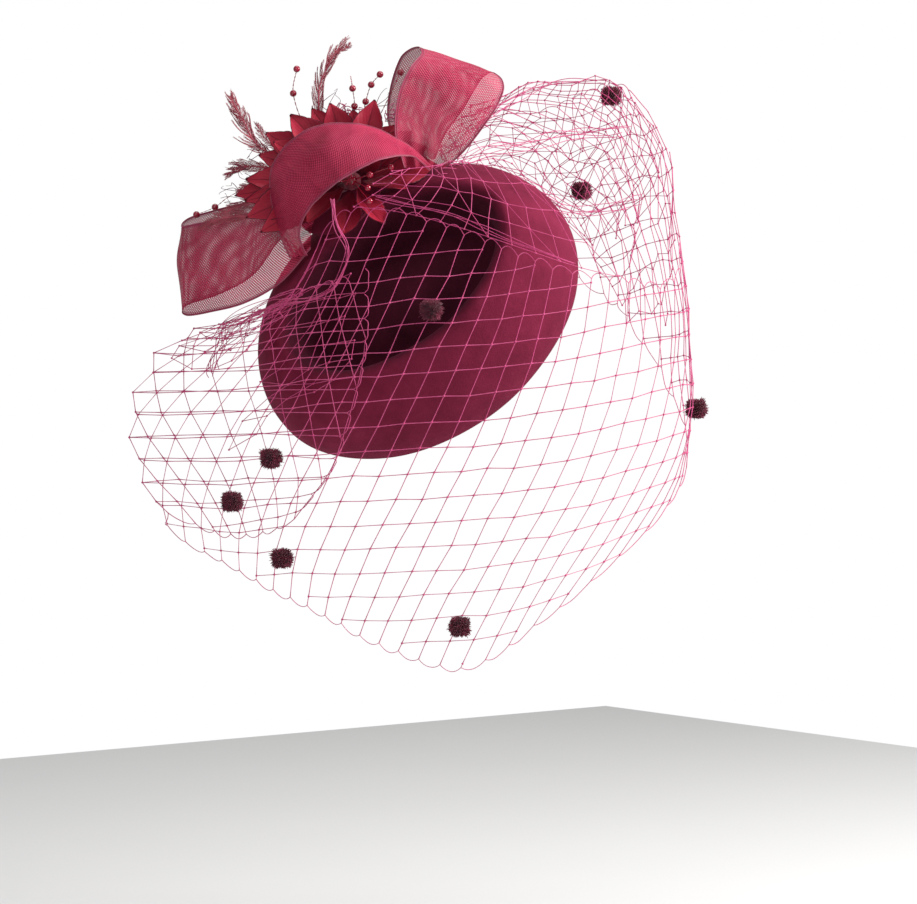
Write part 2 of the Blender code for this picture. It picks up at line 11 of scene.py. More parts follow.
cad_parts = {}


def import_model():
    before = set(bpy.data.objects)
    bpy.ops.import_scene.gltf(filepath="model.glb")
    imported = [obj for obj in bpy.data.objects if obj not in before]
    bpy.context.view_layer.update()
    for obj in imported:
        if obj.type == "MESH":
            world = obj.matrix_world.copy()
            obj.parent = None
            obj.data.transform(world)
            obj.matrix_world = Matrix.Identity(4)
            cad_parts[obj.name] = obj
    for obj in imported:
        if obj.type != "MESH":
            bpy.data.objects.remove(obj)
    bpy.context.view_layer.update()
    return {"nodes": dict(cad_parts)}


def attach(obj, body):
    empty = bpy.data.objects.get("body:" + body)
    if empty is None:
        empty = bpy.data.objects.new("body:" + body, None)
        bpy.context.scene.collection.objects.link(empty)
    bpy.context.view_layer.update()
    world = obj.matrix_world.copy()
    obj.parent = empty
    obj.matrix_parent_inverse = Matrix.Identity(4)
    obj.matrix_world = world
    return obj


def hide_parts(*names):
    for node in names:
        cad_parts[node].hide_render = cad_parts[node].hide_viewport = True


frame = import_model()
NODES = frame["nodes"]
ROOT = "headpiece"

MM = 0.001
TURN = math.radians(38.0)  # the dressed side looks this far from -y, toward -x
C, S = math.cos(TURN), math.sin(TURN)
CRIN_WIDTH = 0.047  # metres
MESH_PITCH, MESH_ROW = 14.0, 12.8  # the net's cells, along the strip and up it
# the hat's own axes: the long and the short one of its oval, and the one up through its crown
E1 = np.array([0.80, 0.60, 0.0])
CROWN = np.array([-0.30, 0.40, 0.866])
CROWN /= np.linalg.norm(CROWN)
E2 = np.cross(CROWN, E1)
E2 /= np.linalg.norm(E2)
rng = np.random.default_rng(7)
noise.seed_set(3)  # without a seed its vectors change from run to run


# ---- geometry helpers
def world(p):
    """World metres of dressed-frame millimetres."""
    p = np.asarray(p, float)
    a, u, t = p[..., 0], p[..., 1], p[..., 2]
    return np.stack([a * C - t * S, -a * S - t * C, u], -1) * MM


def hat(x, y, z):
    """Dressed-frame millimetres of a point of the hat's own frame."""
    x, y, z = (np.asarray(v, float)[..., None] for v in (x, y, z))
    return x * E1 + y * E2 + z * CROWN


def catmull(points, at):
    """The smooth curve through points (n, ...), at the parameters at, each from 0 to n - 1."""
    points = np.asarray(points, float)
    n = len(points)
    at = np.asarray(at, float)
    i = np.clip(at.astype(int), 0, n - 2)
    f = (at - i).reshape((-1,) + (1,) * (points.ndim - 1))
    p1, p2 = points[i], points[i + 1]
    first, last = 2 * points[0] - points[1], 2 * points[-1] - points[-2]
    p0 = np.where((i > 0).reshape(f.shape), points[np.maximum(i - 1, 0)], first)
    p3 = np.where((i < n - 2).reshape(f.shape), points[np.minimum(i + 2, n - 1)], last)
    a = 2 * p1 + (p2 - p0) * f
    b = (2 * p0 - 5 * p1 + 4 * p2 - p3) * f**2
    c = (3 * p1 - p0 - 3 * p2 + p3) * f**3
    return (a + b + c) * 0.5


def surface(stations, columns, rows):
    """(columns + 1, rows + 1, 3) points of the smooth sheet through the stations."""
    s = np.asarray(stations, float)
    across = catmull(s.transpose(1, 0, 2), np.linspace(0, s.shape[1] - 1, rows + 1)).transpose(1, 0, 2)
    return catmull(across, np.linspace(0, len(s) - 1, columns + 1))


def unit(v):
    """The vectors of v, which lie along its last axis, at length 1."""
    return v / np.maximum(np.linalg.norm(v, axis=-1, keepdims=True), 1e-9)


def normals_of(grid):
    return unit(np.cross(np.gradient(grid, axis=0), np.gradient(grid, axis=1)))


def mesh_object(name, points, faces, material, uv=None, smooth=True):
    """points are in world metres, with a uv pair for each. faces is an array or a list of lists."""
    mesh = bpy.data.meshes.new(name)
    mesh.from_pydata(np.asarray(points).tolist(), [], faces if isinstance(faces, list) else faces.tolist())
    if uv is not None:
        layer = mesh.uv_layers.new(name="UVMap")
        loops = np.empty(len(mesh.loops), np.int32)
        mesh.loops.foreach_get("vertex_index", loops)
        layer.data.foreach_set("uv", np.asarray(uv, np.float32)[loops].reshape(-1))
    if smooth:
        mesh.polygons.foreach_set("use_smooth", np.ones(len(mesh.polygons), bool))
    mesh.materials.append(material)
    mesh.update()
    obj = bpy.data.objects.new(name, mesh)
    bpy.context.scene.collection.objects.link(obj)
    return obj


def grid_object(name, grid, material, uv):
    """The sheet through a grid (columns, rows, 3) of dressed millimetres."""
    ni, nj = grid.shape[:2]
    i, j = np.meshgrid(np.arange(ni - 1), np.arange(nj - 1), indexing="ij")
    first = (i * nj + j).ravel()
    faces = np.stack([first, first + nj, first + nj + 1, first + 1], 1)
    return mesh_object(name, world(grid).reshape(-1, 3), faces, material, uv.reshape(-1, 2))


def arc_lengths(grid, axis):
    step = np.linalg.norm(np.diff(grid, axis=axis), axis=2)
    pad = [(0, 0), (0, 0)]
    pad[axis] = (1, 0)
    return np.cumsum(np.pad(step, pad), axis=axis)


def tubes(lines, radius, sides=4, centre=(0, -40, -40)):
    """Points and faces of open-ended tubes along lines (n, k, 3). radius is a number or (n, k).

    Each ring is turned by its direction from centre, so no line may point straight at it.
    """
    lines = np.asarray(lines, float)
    n, k = lines.shape[:2]
    ahead = unit(np.gradient(lines, axis=1))
    side = unit(np.cross(ahead, lines - np.asarray(centre, float)))
    up = np.cross(side, ahead)
    turn = np.arange(sides) * 2 * np.pi / sides
    r = np.broadcast_to(np.asarray(radius, float), (n, k))[:, :, None, None]
    ring = side[:, :, None] * np.cos(turn)[:, None] + up[:, :, None] * np.sin(turn)[:, None]
    points = lines[:, :, None] + ring * r
    base = (np.arange(n)[:, None, None] * k + np.arange(k - 1)[None, :, None]) * sides
    m = np.arange(sides)[None, None, :]
    m2 = (m + 1) % sides
    faces = np.stack([base + m, base + m2, base + sides + m2, base + sides + m], -1).reshape(-1, 4)
    return points.reshape(-1, 3), faces


def balls(centres, radii, steps=1):
    """Points and triangles of a small ball at each centre."""
    shape = bmesh.new()
    bmesh.ops.create_icosphere(shape, subdivisions=steps, radius=1.0)
    unit = np.array([v.co[:] for v in shape.verts])
    tris = np.array([[v.index for v in f.verts] for f in shape.faces])
    shape.free()
    centres = np.asarray(centres, float)
    radii = np.broadcast_to(np.asarray(radii, float).reshape(-1, 1, 1), (len(centres), 1, 1))
    points = centres[:, None] + unit[None] * radii
    faces = tris[None] + (np.arange(len(centres)) * len(unit))[:, None, None]
    return points.reshape(-1, 3), faces.reshape(-1, 3)


def join_parts(parts):
    """One (points, faces) of several; faces may be triangles or quads."""
    points, faces, start = [], [], 0
    for p, f in parts:
        points.append(np.asarray(p))
        faces += (np.asarray(f) + start).tolist()
        start += len(p)
    return np.concatenate(points), faces


def node_of(name):
    """The CAD node of that name, or None where scene.py adds the piece."""
    return name if name in NODES else None


def settle(obj, node=None):
    """Has a piece ride the headpiece, and stand for its CAD node."""
    if node:
        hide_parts(node)
    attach(obj, ROOT)


# ---- materials
class Paint:
    """A node material and short ways to add to it."""

    def __init__(self, name):
        self.mat = bpy.data.materials.new(name)
        self.mat.use_nodes = True
        self.tree = self.mat.node_tree
        self.shader = self.tree.nodes["Principled BSDF"]
        self.where = self.add("ShaderNodeTexCoord", {}).outputs

    def add(self, kind, inputs, **settings):
        """A new node. Its inputs take numbers, colours, or what other nodes put out."""
        made = self.tree.nodes.new(kind)
        for key, value in settings.items():
            setattr(made, key, value)
        for key, value in inputs.items():
            self.feed(value, made.inputs[key])
        return made

    def feed(self, value, socket):
        if isinstance(value, (int, float)):
            socket.default_value = value
        elif isinstance(value, tuple):
            socket.default_value = (*value, 1)
        else:
            self.tree.links.new(value, socket)

    def put(self, name, value):
        self.feed(value, self.shader.inputs[name])

    def uv(self):
        split = self.add("ShaderNodeSeparateXYZ", {0: self.where["UV"]})
        return split.outputs["X"], split.outputs["Y"]

    def noise(self, scale, detail=4.0, rough=0.55):
        inputs = {"Scale": scale, "Detail": detail, "Roughness": rough, "Vector": self.where["Object"]}
        return self.add("ShaderNodeTexNoise", inputs).outputs["Fac"]

    def wave(self, scale, direction):
        inputs = {"Scale": scale, "Vector": self.where["UV"]}
        return self.add("ShaderNodeTexWave", inputs, bands_direction=direction).outputs["Fac"]

    def math(self, operation, a, b=0.0):
        return self.add("ShaderNodeMath", {0: a, 1: b}, operation=operation).outputs[0]

    def times(self, a, b):
        return self.math("MULTIPLY", a, b)

    def plus(self, a, b):
        return self.math("ADD", a, b)

    def span(self, value, low, high, to_low=0.0, to_high=1.0):
        inputs = {"Value": value, "From Min": low, "From Max": high, "To Min": to_low, "To Max": to_high}
        return self.add("ShaderNodeMapRange", inputs).outputs["Result"]

    def colours(self, value, stops):
        ramp = self.add("ShaderNodeValToRGB", {"Fac": value})
        while len(ramp.color_ramp.elements) < len(stops):
            ramp.color_ramp.elements.new(0.5)
        for element, (at, colour) in zip(ramp.color_ramp.elements, stops):
            element.position = at
            element.color = (*colour, 1)
        return ramp.outputs["Color"]

    def mix(self, value, a, b):
        return self.add("ShaderNodeMix", {0: value, 6: a, 7: b}, data_type="RGBA").outputs[2]

    def bump(self, height, strength=0.5, distance=0.0005):
        inputs = {"Strength": strength, "Distance": distance, "Height": height}
        self.put("Normal", self.add("ShaderNodeBump", inputs).outputs["Normal"])



def felt_material(name="wool_felt", ridge=None):
    """Wool felt. Past the ridge, so many metres up the skin, the dish takes painted shade, darker where the
    ridge, the loops and the flower shade it.
    """
    p = Paint(name)
    mottle, fibre = p.noise(60, 5, 0.6), p.noise(1500, 6, 0.7)
    both = p.plus(p.times(mottle, 0.6), p.times(fibre, 0.4))
    low, middle, high = (0.125, 0.009, 0.028), (0.190, 0.015, 0.045), (0.250, 0.026, 0.068)
    nap = p.colours(both, [(0.3, low), (0.55, middle), (0.75, high)])
    if ridge:
        # painted shade: the felt in the dish past the ridge is coloured darker where the trim and the ridge
        # shade it
        dish = p.span(p.uv()[1], ridge - 0.001, ridge + 0.009)
        painted_dish_shade = p.colours(both, [(0.3, (0.034, 0.0035, 0.010)), (0.75, (0.085, 0.009, 0.024))])
        nap = p.mix(dish, nap, painted_dish_shade)
    p.put("Base Color", nap)
    p.put("Roughness", p.span(fibre, 0.3, 0.7, 0.82, 1.0))
    p.put("Specular IOR Level", 0.1)
    p.put("Sheen Weight", 0.12)
    p.put("Sheen Roughness", 0.4)
    p.put("Sheen Tint", (0.85, 0.22, 0.38))
    p.bump(p.plus(fibre, p.times(p.noise(320, 3), 0.8)), 0.55, 0.0006)
    return p.mat


def weave_cloth(name, dark, light, pitch, roughness=0.75, sheen=0.2, ribs=False):
    """A plain weave, or with ribs a corded ribbon, over a UV map in metres."""
    p = Paint(name)
    threads = p.wave(0.5 / pitch, "X")
    if not ribs:
        threads = p.times(threads, p.wave(0.5 / pitch, "Y"))
    shade = p.plus(p.times(threads, 0.6), p.times(p.noise(90), 0.5))
    p.put("Base Color", p.colours(shade, [(0.15, dark), (0.85, light)]))
    p.put("Roughness", p.span(threads, 0, 1, roughness + 0.1, roughness - 0.1))
    p.put("Sheen Weight", sheen)
    p.bump(threads, 0.5, 0.0003)
    return p.mat


def crin_material():
    """Horsehair braid: fine filaments crossing at a slant, with open gaps between them."""
    pitch, slant = 0.00125, 0.72
    p = Paint("crinoline")
    x, y = p.uv()
    wobble = p.times(p.math("SUBTRACT", p.noise(55, 3), 0.5), 0.0016)
    bands = []
    for way in ("ADD", "SUBTRACT"):
        along = p.plus(p.math(way, x, p.times(y, slant)), wobble)
        bands.append(p.span(p.math("SINE", p.times(along, 2 * math.pi / pitch)), -0.2, 0.6))
    threads = p.math("MAXIMUM", bands[0], bands[1])
    both = p.times(bands[0], bands[1])
    across = p.math("ABSOLUTE", p.math("SUBTRACT", y, CRIN_WIDTH / 2))
    selvage = p.span(across, CRIN_WIDTH / 2 - 0.0017, CRIN_WIDTH / 2 - 0.0007)
    tone = p.plus(p.times(both, 0.45), p.times(p.span(p.noise(34, 3), 0.3, 0.72), 0.5))
    low, middle, high = (0.30, 0.010, 0.045), (0.54, 0.026, 0.092), (0.80, 0.110, 0.215)
    body = p.colours(tone, [(0.05, low), (0.5, middle), (0.95, high)])
    p.put("Base Color", p.mix(selvage, body, (0.34, 0.030, 0.085)))
    p.put("Roughness", p.span(both, 0, 1, 0.5, 0.32))
    p.put("Specular IOR Level", 0.25)
    p.put("Alpha", p.math("MAXIMUM", p.span(threads, 0, 1, 0.4, 1.0), selvage))
    p.bump(p.plus(bands[0], p.times(bands[1], 0.7)), 0.5, 0.0003)
    return p.mat


def petal_material():
    """Satin, over a UV map that runs from the foot to the tip and from edge to edge."""
    p = Paint("petal_satin")
    x, y = p.uv()
    off = p.math("ABSOLUTE", p.math("SUBTRACT", y, 0.5))
    mid = p.span(off, 0.0, 0.05)
    vein = p.math("SINE", p.times(p.plus(x, p.times(off, -0.8)), 62.0))
    cloth = p.noise(900, 3, 0.6)
    # painted shade: the colour darkens towards the foot, where the petals crowd into the middle of the flower
    tone = p.plus(p.times(x, 0.55), p.times(p.noise(70, 4), 0.5))
    tone = p.plus(tone, p.times(vein, 0.02))
    low, middle, high = (0.050, 0.002, 0.008), (0.25, 0.008, 0.027), (0.60, 0.034, 0.070)
    body = p.colours(tone, [(0.08, low), (0.48, middle), (1.0, high)])
    edge = p.math("MAXIMUM", p.span(off, 0.468, 0.488), p.span(x, 0.965, 0.985))
    p.put("Base Color", p.mix(edge, p.mix(mid, (0.20, 0.009, 0.026), body), (0.10, 0.006, 0.020)))
    p.put("Roughness", p.span(cloth, 0.3, 0.7, 0.34, 0.55))
    p.put("Specular IOR Level", 0.16)
    p.bump(p.plus(p.times(vein, 0.2), p.plus(mid, cloth)), 0.3, 0.0004)
    return p.mat


def bead_material():
    p = Paint("bead_gloss")
    dark, light = (0.26, 0.002, 0.018), (0.48, 0.008, 0.050)
    p.put("Base Color", p.colours(p.noise(160, 3), [(0.3, dark), (0.7, light)]))
    p.put("Roughness", p.span(p.noise(700), 0.3, 0.7, 0.10, 0.2))
    p.put("Coat Weight", 1.0)
    p.put("Coat Roughness", 0.05)
    return p.mat


def thread_material(name, low, high, roughness=0.5, scale=240):
    p = Paint(name)
    p.put("Base Color", p.colours(p.noise(scale, 4), [(0.3, low), (0.7, high)]))
    p.put("Roughness", p.span(p.noise(900), 0.3, 0.7, roughness - 0.08, roughness + 0.12))
    p.put("Sheen Weight", 0.2)
    p.bump(p.noise(2600, 3), 0.4, 0.0002)
    return p.mat


def metal_material(name, colour, roughness):
    p = Paint(name)
    scuff = p.noise(420, 5, 0.65)
    p.put("Base Color", p.colours(scuff, [(0.25, tuple(v * 0.75 for v in colour)), (0.7, colour)]))
    p.put("Metallic", 1.0)
    p.put("Roughness", p.span(scuff, 0.3, 0.7, roughness, roughness + 0.18))
    p.bump(p.noise(1400, 3), 0.12, 0.0001)
    return p.mat


def comb_material():
    p = Paint("comb_plastic")
    dark, light = (0.020, 0.006, 0.005), (0.070, 0.020, 0.012)
    p.put("Base Color", p.colours(p.noise(45, 5, 0.6), [(0.35, dark), (0.7, light)]))
    p.put("Roughness", p.span(p.noise(600), 0.3, 0.7, 0.14, 0.28))
    p.put("Coat Weight", 0.5)
    return p.mat


FELT = felt_material()
CRIN = crin_material()
PETAL = petal_material()
BEAD = bead_material()
NET = thread_material("veil_thread", (0.50, 0.026, 0.150), (0.68, 0.055, 0.235), 0.55)
PLUME = thread_material("plume", (0.32, 0.030, 0.060), (0.62, 0.120, 0.170), 0.6, 110)
PILE = thread_material("chenille", (0.110, 0.007, 0.028), (0.26, 0.018, 0.062), 0.85, 300)
CRIN_CORD = thread_material("crin_cord", (0.22, 0.016, 0.050), (0.40, 0.045, 0.11), 0.45)
LINING = weave_cloth("lining_cloth", (0.06, 0.006, 0.018), (0.13, 0.014, 0.036), 0.0009)
RIBBON = weave_cloth("sweat_ribbon", (0.07, 0.006, 0.02), (0.20, 0.02, 0.055), 0.0014, 0.6, 0.3, True)
STITCH = thread_material("stitch_thread", (0.10, 0.008, 0.03), (0.2, 0.02, 0.06), 0.6)
STEEL = metal_material("clip_plating", (0.62, 0.61, 0.60), 0.22)
WIRE = metal_material("wire_steel", (0.48, 0.48, 0.50), 0.3)
COMB = comb_material()
PETAL_CORE = thread_material("flower_core_thread", (0.10, 0.004, 0.016), (0.3, 0.012, 0.04), 0.7)


# ---- tables
FLOWER = np.array((-36.0, 72.0, 27.0))
INNER_FACING = ((0.1, 1, 0.55), (0.5, 1, 0.9), (0, 0.7, 1), (-0.1, 1, 0.5), (-0.3, 0.1, 1), (0, -0.1, 1))
STAMENS = ((-26, 75, 47), (-27, 68, 52), (-26, 61, 55), (-46, 71, 49), (-15, 79, 44), (-37, 82, 47))
# the hat's rings: half length, half width and height of each oval, from the base up and into the dish
FELT_OUTER = (
    (94.0, 75.0, 0.0), (93.6, 74.2, 9.0), (91.0, 71.0, 19.0), (87.0, 66.0, 29.0), (82.0, 59.5, 38.0),
    (76.5, 52.0, 45.0), (70.5, 45.0, 48.5), (65.0, 39.0, 46.0), (61.5, 35.5, 39.0), (59.5, 33.2, 31.5),
    (56.0, 30.5, 27.8), (50.0, 26.5, 27.6), (38.0, 20.0, 31.0), (22.0, 12.0, 34.5),
)
FELT_INNER = (
    (91.0, 72.0, 0.0), (90.6, 71.2, 9.0), (88.0, 68.2, 18.5), (84.0, 63.4, 27.8), (79.2, 56.8, 36.2),
    (74.4, 50.0, 42.2), (70.3, 44.9, 45.3), (67.6, 41.6, 43.6), (64.4, 38.4, 37.0), (62.4, 36.0, 29.6),
    (57.4, 31.6, 24.8), (50.0, 26.5, 24.4), (38.0, 20.0, 28.0), (22.0, 12.0, 31.5),
)
LINING_OUTER = (
    (88.6, 69.0, 14.0), (86.7, 66.8, 20.0), (82.2, 61.4, 29.0), (72.0, 49.0, 27.0), (57.0, 32.0, 23.6),
    (50.0, 26.5, 23.6), (38.0, 20.0, 27.2), (22.0, 12.0, 30.7),
)
LINING_INNER = (
    (87.8, 68.2, 14.0), (85.8, 65.9, 19.6), (81.2, 60.3, 28.0), (72.0, 49.0, 26.1), (57.0, 32.0, 22.7),
    (50.0, 26.5, 22.7), (38.0, 20.0, 26.3), (22.0, 12.0, 29.8),
)
# the ribbon's stations: near edge, middle and far edge, from one foot of the loop to the other
LEFT_LOOP = (
    ((-58, 36, 27), (-57, 48, 27), (-52, 60, 27)),
    ((-74, 18, 27), (-74, 38, 28), (-72, 57, 24)),
    ((-93, 7, 25), (-95, 30, 24), (-96, 54, 20)),
    ((-112, 2, 20), (-114, 26, 19), (-115, 50, 16)),
    ((-124, 0, 13), (-126, 24, 13), (-125, 48, 11)),
    ((-128, 2, 6), (-130, 26, 6), (-128, 48, 5)),
    ((-124, 6, -2), (-126, 29, -2), (-125, 52, -1)),
    ((-109, 11, -9), (-112, 34, -9), (-112, 56, -6)),
    ((-91, 21, -9), (-92, 41, -9), (-92, 61, -6)),
    ((-77, 38, 1), (-77, 52, 0), (-74, 66, 0)),
    ((-65, 55, 16), (-63, 63, 15), (-58, 72, 13)),
)
CENTRE_LOOP = (
    ((-68, 31, 32), (-64, 32, 37), (-59, 33, 41)),
    ((-77, 51, 34), (-72, 48, 45), (-63, 45, 53)),
    ((-79, 74, 34), (-72, 66, 50), (-57, 58, 62)),
    ((-69, 92, 34), (-61, 81, 53), (-46, 68, 67)),
    ((-50, 102, 34), (-43, 92, 54), (-32, 77, 67)),
    ((-28, 101, 33), (-23, 95, 49), (-16, 84, 61)),
    ((-8, 92, 29), (-6, 90, 39), (-3, 84, 48)),
    ((5, 80, 27), (6, 79, 31), (5, 77, 36)),
)
RIGHT_LOOP = (
    ((-8, 79, 22), (3, 79, 22), (14, 79, 22)),
    ((-13, 98, 24), (5, 94, 22), (24, 88, 24)),
    ((-11, 118, 23), (12, 110, 21), (35, 102, 22)),
    ((-5, 132, 18), (18, 123, 18), (42, 113, 17)),
    ((1, 140, 10), (23, 133, 11), (45, 123, 10)),
    ((-2, 144, 1), (19, 138, 2), (40, 130, 1)),
    ((-10, 139, -6), (11, 134, -6), (33, 127, -6)),
    ((-16, 122, -10), (4, 118, -11), (24, 112, -10)),
    ((-17, 104, -9), (-1, 102, -10), (14, 98, -9)),
    ((-9, 86, -2), (0, 85, -2), (8, 84, -2)),
)
PETAL_OUTLINE = (  # part of the length, and part of the full width there
    (0, 0.2), (0.1, 0.36), (0.22, 0.62), (0.36, 0.88), (0.5, 1.0),
    (0.63, 0.93), (0.76, 0.72), (0.88, 0.4), (0.95, 0.18), (1.0, 0.03),
)
OUTER_PETALS = (  # tip, width, and how far the foot sits behind the middle of the flower
    ((-24, 115, 17), 17, -1.5), ((-48, 113, 12), 18, -5.0), ((-69, 107, 17), 19, -1.5),
    ((-82, 98, 12), 18, -5.0), ((-93, 73, 20), 18, -1.5), ((-93, 61, 28), 15, 0.5),
    ((-13, 101, 7), 16, -8.0),
)
UNDER_PETALS = (  # the leaves that lie between and under the outer petals
    ((-99, 64, 14), 17, -3.0), ((-92, 52, 34), 19, 1.5), ((-86, 86, 12), 17, -5.5),
    ((-78, 92, 22), 16, -1.0), ((-58, 111, 7), 16, -7.5), ((-36, 110, 7), 17, -7.5),
    ((-84, 44, 36), 18, 2.5), ((-74, 84, 30), 15, 1.0), ((3, 90, 4), 19, -7.0),
    ((9, 81, 14), 19, -3.0), ((-4, 98, 12), 16, -4.0),
)
INNER_PETALS = (
    ((-6, 68, 45), 15, 1.0), ((-18, 49, 53), 15, 2.0), ((-39, 43, 42), 16, -3.0),
    ((-59, 49, 47), 15, 2.5), ((-60, 76, 44), 15, 0.0), ((-22, 90, 44), 15, 0.0),
)
SPRAYS = {  # the wire's route, and which of its points hold a bead
    "left": (((-48, 82, 9), (-72, 78, 8), (-100, 65, 5), (-110, 58, 5), (-120, 54, 5)), (3, 4)),
    "upper_left": (((-50, 91, 2), (-62, 102, -1), (-68, 119, 2), (-66, 132, 4)), (2, 3)),
    "middle": (((-41, 86, 5), (-37, 100, 5), (-35, 112, 7), (-36, 121.5, 8), (-37, 128, 8)), (2, 3)),
    "right": (((-36, 86, 5), (-31, 104, 4), (-29, 114.5, 6), (-26, 123.5, 7), (-21.3, 129, 7)), (2, 3, 4)),
    "far_right": (((-31, 86, 5), (-24, 102, 3), (-16.5, 117, 5), (-10.3, 130.1, 8)), (3,)),
}
PLUMES = (  # name, width, clumps of barbs on a side, quill, sweep of the barbs, seed, shaft
    (
        ("feather_tall", 4.6, 22, 0.62, 2.1, 80),
        ((-52, 93, 3), (-54, 106, 4), (-54, 121, 5), (-50, 132, 6), (-45, 141, 6), (-38, 150, 6)),
    ),
    (
        ("feather_upper_left", 5.6, 24, 0.5, 1.5, 81),
        ((-78, 85, 3), (-88, 92, 4), (-94, 103, 6), (-99, 112, 6), (-102, 118, 6)),
    ),
    (("feather_far_left", 4.6, 18, 0.4, 1.2, 82), ((-80, 79, -1), (-90, 80, 0), (-98, 79, 1), (-105, 74, 2))),
    (
        ("feather_on_loop", 4.4, 26, 0.35, 1, 83),
        ((-89, 53, 30), (-98, 53, 28), (-109, 51, 25), (-119, 46, 21)),
    ),
    (("fluff_1", 2.2, 8, 0.2, 1, 120), ((-46, 140, 6), (-40, 143, 6), (-36.8, 146, 6))),
    (("fluff_2", 3.4, 12, 0.3, 1, 121), ((-84, 70, 10), (-92, 70, 8), (-99, 66, 6))),
    (("fluff_3", 4.4, 20, 0.35, 1, 122), ((-80, 62, 16), (-90, 60, 18), (-100, 57, 18), (-108, 54, 17))),
    (("fluff_4", 3.6, 10, 0.3, 1, 123), ((-76, 88, 4), (-84, 96, 2), (-88, 104, 0))),
)
TENDRILS = (  # root and tip
    ((-96, 66, 6), (-105, 69, 6)), ((-92, 78, 3), (-99, 82, 3)), ((-84, 88, 2), (-92, 86, 2)),
    ((-93, 62, 8), (-104, 62, 7)), ((-24, 112, 4), (-19, 120, 4)), ((-18, 104, 4), (-12, 112, 4)),
    ((-50, 110, 2), (-44, 117, 2)), ((-86, 72, 5), (-95, 74, 6)),
)
TUFTS = (  # middle, reach and loops
    ((-43, 110, 0), 8.0, 16), ((-37, 106, 0), 8.0, 16), ((-14, 108, 2), 6.0, 12), ((-30, 104, -2), 9.0, 12),
)
DOTS = (  # name, place, and whether it sits on the near side of the net
    ("top", (104, 118), False), ("upper", (90, 67), False),
    ("right", (147, -50), True), ("hat", (7, 3), True),
    ("left_high", (-77, -74), True), ("left_low", (-96, -97), True),
    ("hem", (22, -159), True), ("hem_left", (-70, -126), True),
)
VEIL = (  # from the cut end to the fold at the left, over itself to the near side, and round to the back
    ((-26, 23, 56), (-27, -10, 66), (-33, -45, 72), (-45, -78, 64), (-68, -110, 44)),
    ((-52, 18, 46), (-63, -12, 50), (-78, -48, 46), (-88, -85, 36), (-92, -120, 24)),
    ((-86, 2, 21), (-112, -18, 12), (-134, -52, 3), (-130, -88, -4), (-120, -116, -8)),
    ((-101, -2, 2), (-137, -14, 4), (-158, -50, -3), (-154, -84, -9), (-141, -108, -10)),
    ((-92, 0, 30), (-124, -16, 30), (-146, -52, 21), (-141, -92, 11), (-126, -124, 7)),
    ((-66, 14, 56), (-94, -20, 62), (-106, -60, 62), (-102, -106, 52), (-92, -138, 44)),
    ((-44, 54, 62), (-54, -6, 80), (-60, -66, 86), (-60, -120, 80), (-54, -156, 72)),
    ((-12, 58, 70), (-14, -6, 90), (-15, -74, 96), (-15, -132, 94), (-14, -175, 86)),
    ((26, 46, 78), (28, -16, 94), (30, -78, 98), (28, -138, 96), (26, -183, 88)),
    ((66, 31, 78), (76, -26, 88), (80, -80, 90), (74, -126, 88), (64, -160, 80)),
    ((104, 22, 58), (116, -22, 66), (120, -66, 68), (114, -102, 66), (102, -130, 60)),
    ((132, 20, 28), (140, -14, 34), (143, -52, 36), (138, -82, 34), (131, -104, 30)),
    ((140, 40, -2), (143, 8, 0), (146, -26, -2), (145, -54, -6), (143, -82, -8)),
    ((132, 96, -24), (138, 58, -34), (141, 20, -42), (141, -14, -46), (139, -44, -46)),
    ((107, 128, -38), (119, 104, -58), (126, 70, -76), (126, 30, -84), (120, -10, -86)),
    ((68, 129, -38), (84, 122, -76), (94, 92, -106), (98, 54, -124), (93, 14, -130)),
    ((26, 114, -26), (40, 122, -78), (53, 102, -124), (56, 72, -148), (54, 38, -158)),
    ((-4, 98, -18), (2, 110, -70), (8, 102, -112), (11, 86, -140), (10, 62, -154)),
)
# the lattice between the near net's top edge and the trim
FAN_EDGE = ((-34, 58, 66), (-8, 55, 72), (22, 47, 78), (52, 37, 80), (82, 27, 73), (106, 21, 58))
FAN_FOOT = ((-14, 77, 53), (2, 79, 46), (16, 82, 35), (32, 84, 22), (48, 84, 6))
HANGING = (  # from the flower down over the hat, and out to the left
    (-45, 62, 66), (-42.5, 48, 69), (-37.5, 37, 71), (-39.5, 25, 71),
    (-45, 15, 68), (-56, 9.5, 62), (-70, 7, 53), (-88, 1, 38),
)
GATHERS = (  # line, strands, spread
    (HANGING, 6, 1.2),
    (((-62, 12, 58), (-76, 8, 48), (-92, 1, 30), (-104, -6, 12), (-108, -14, 4)), 7, 3.2),
    (((-88, 4, 26), (-98, -4, 12), (-106, -14, 6), (-112, -30, 4)), 5, 4.0),
    (((8, 78, 24), (30, 86, 4), (58, 92, -18), (84, 98, -36), (108, 100, -48)), 5, 4.5),
    (((10, 80, 20), (34, 76, 0), (60, 66, -22), (88, 56, -40), (116, 62, -50)), 5, 5.0),
    (((12, 84, 14), (30, 100, -6), (50, 116, -26), (72, 126, -38), (100, 126, -40)), 4, 3.5),
    (((-22, 63, 68), (6, 57, 74), (30, 49, 79), (57, 37, 81), (82, 29, 77)), 3, 1.6),
)


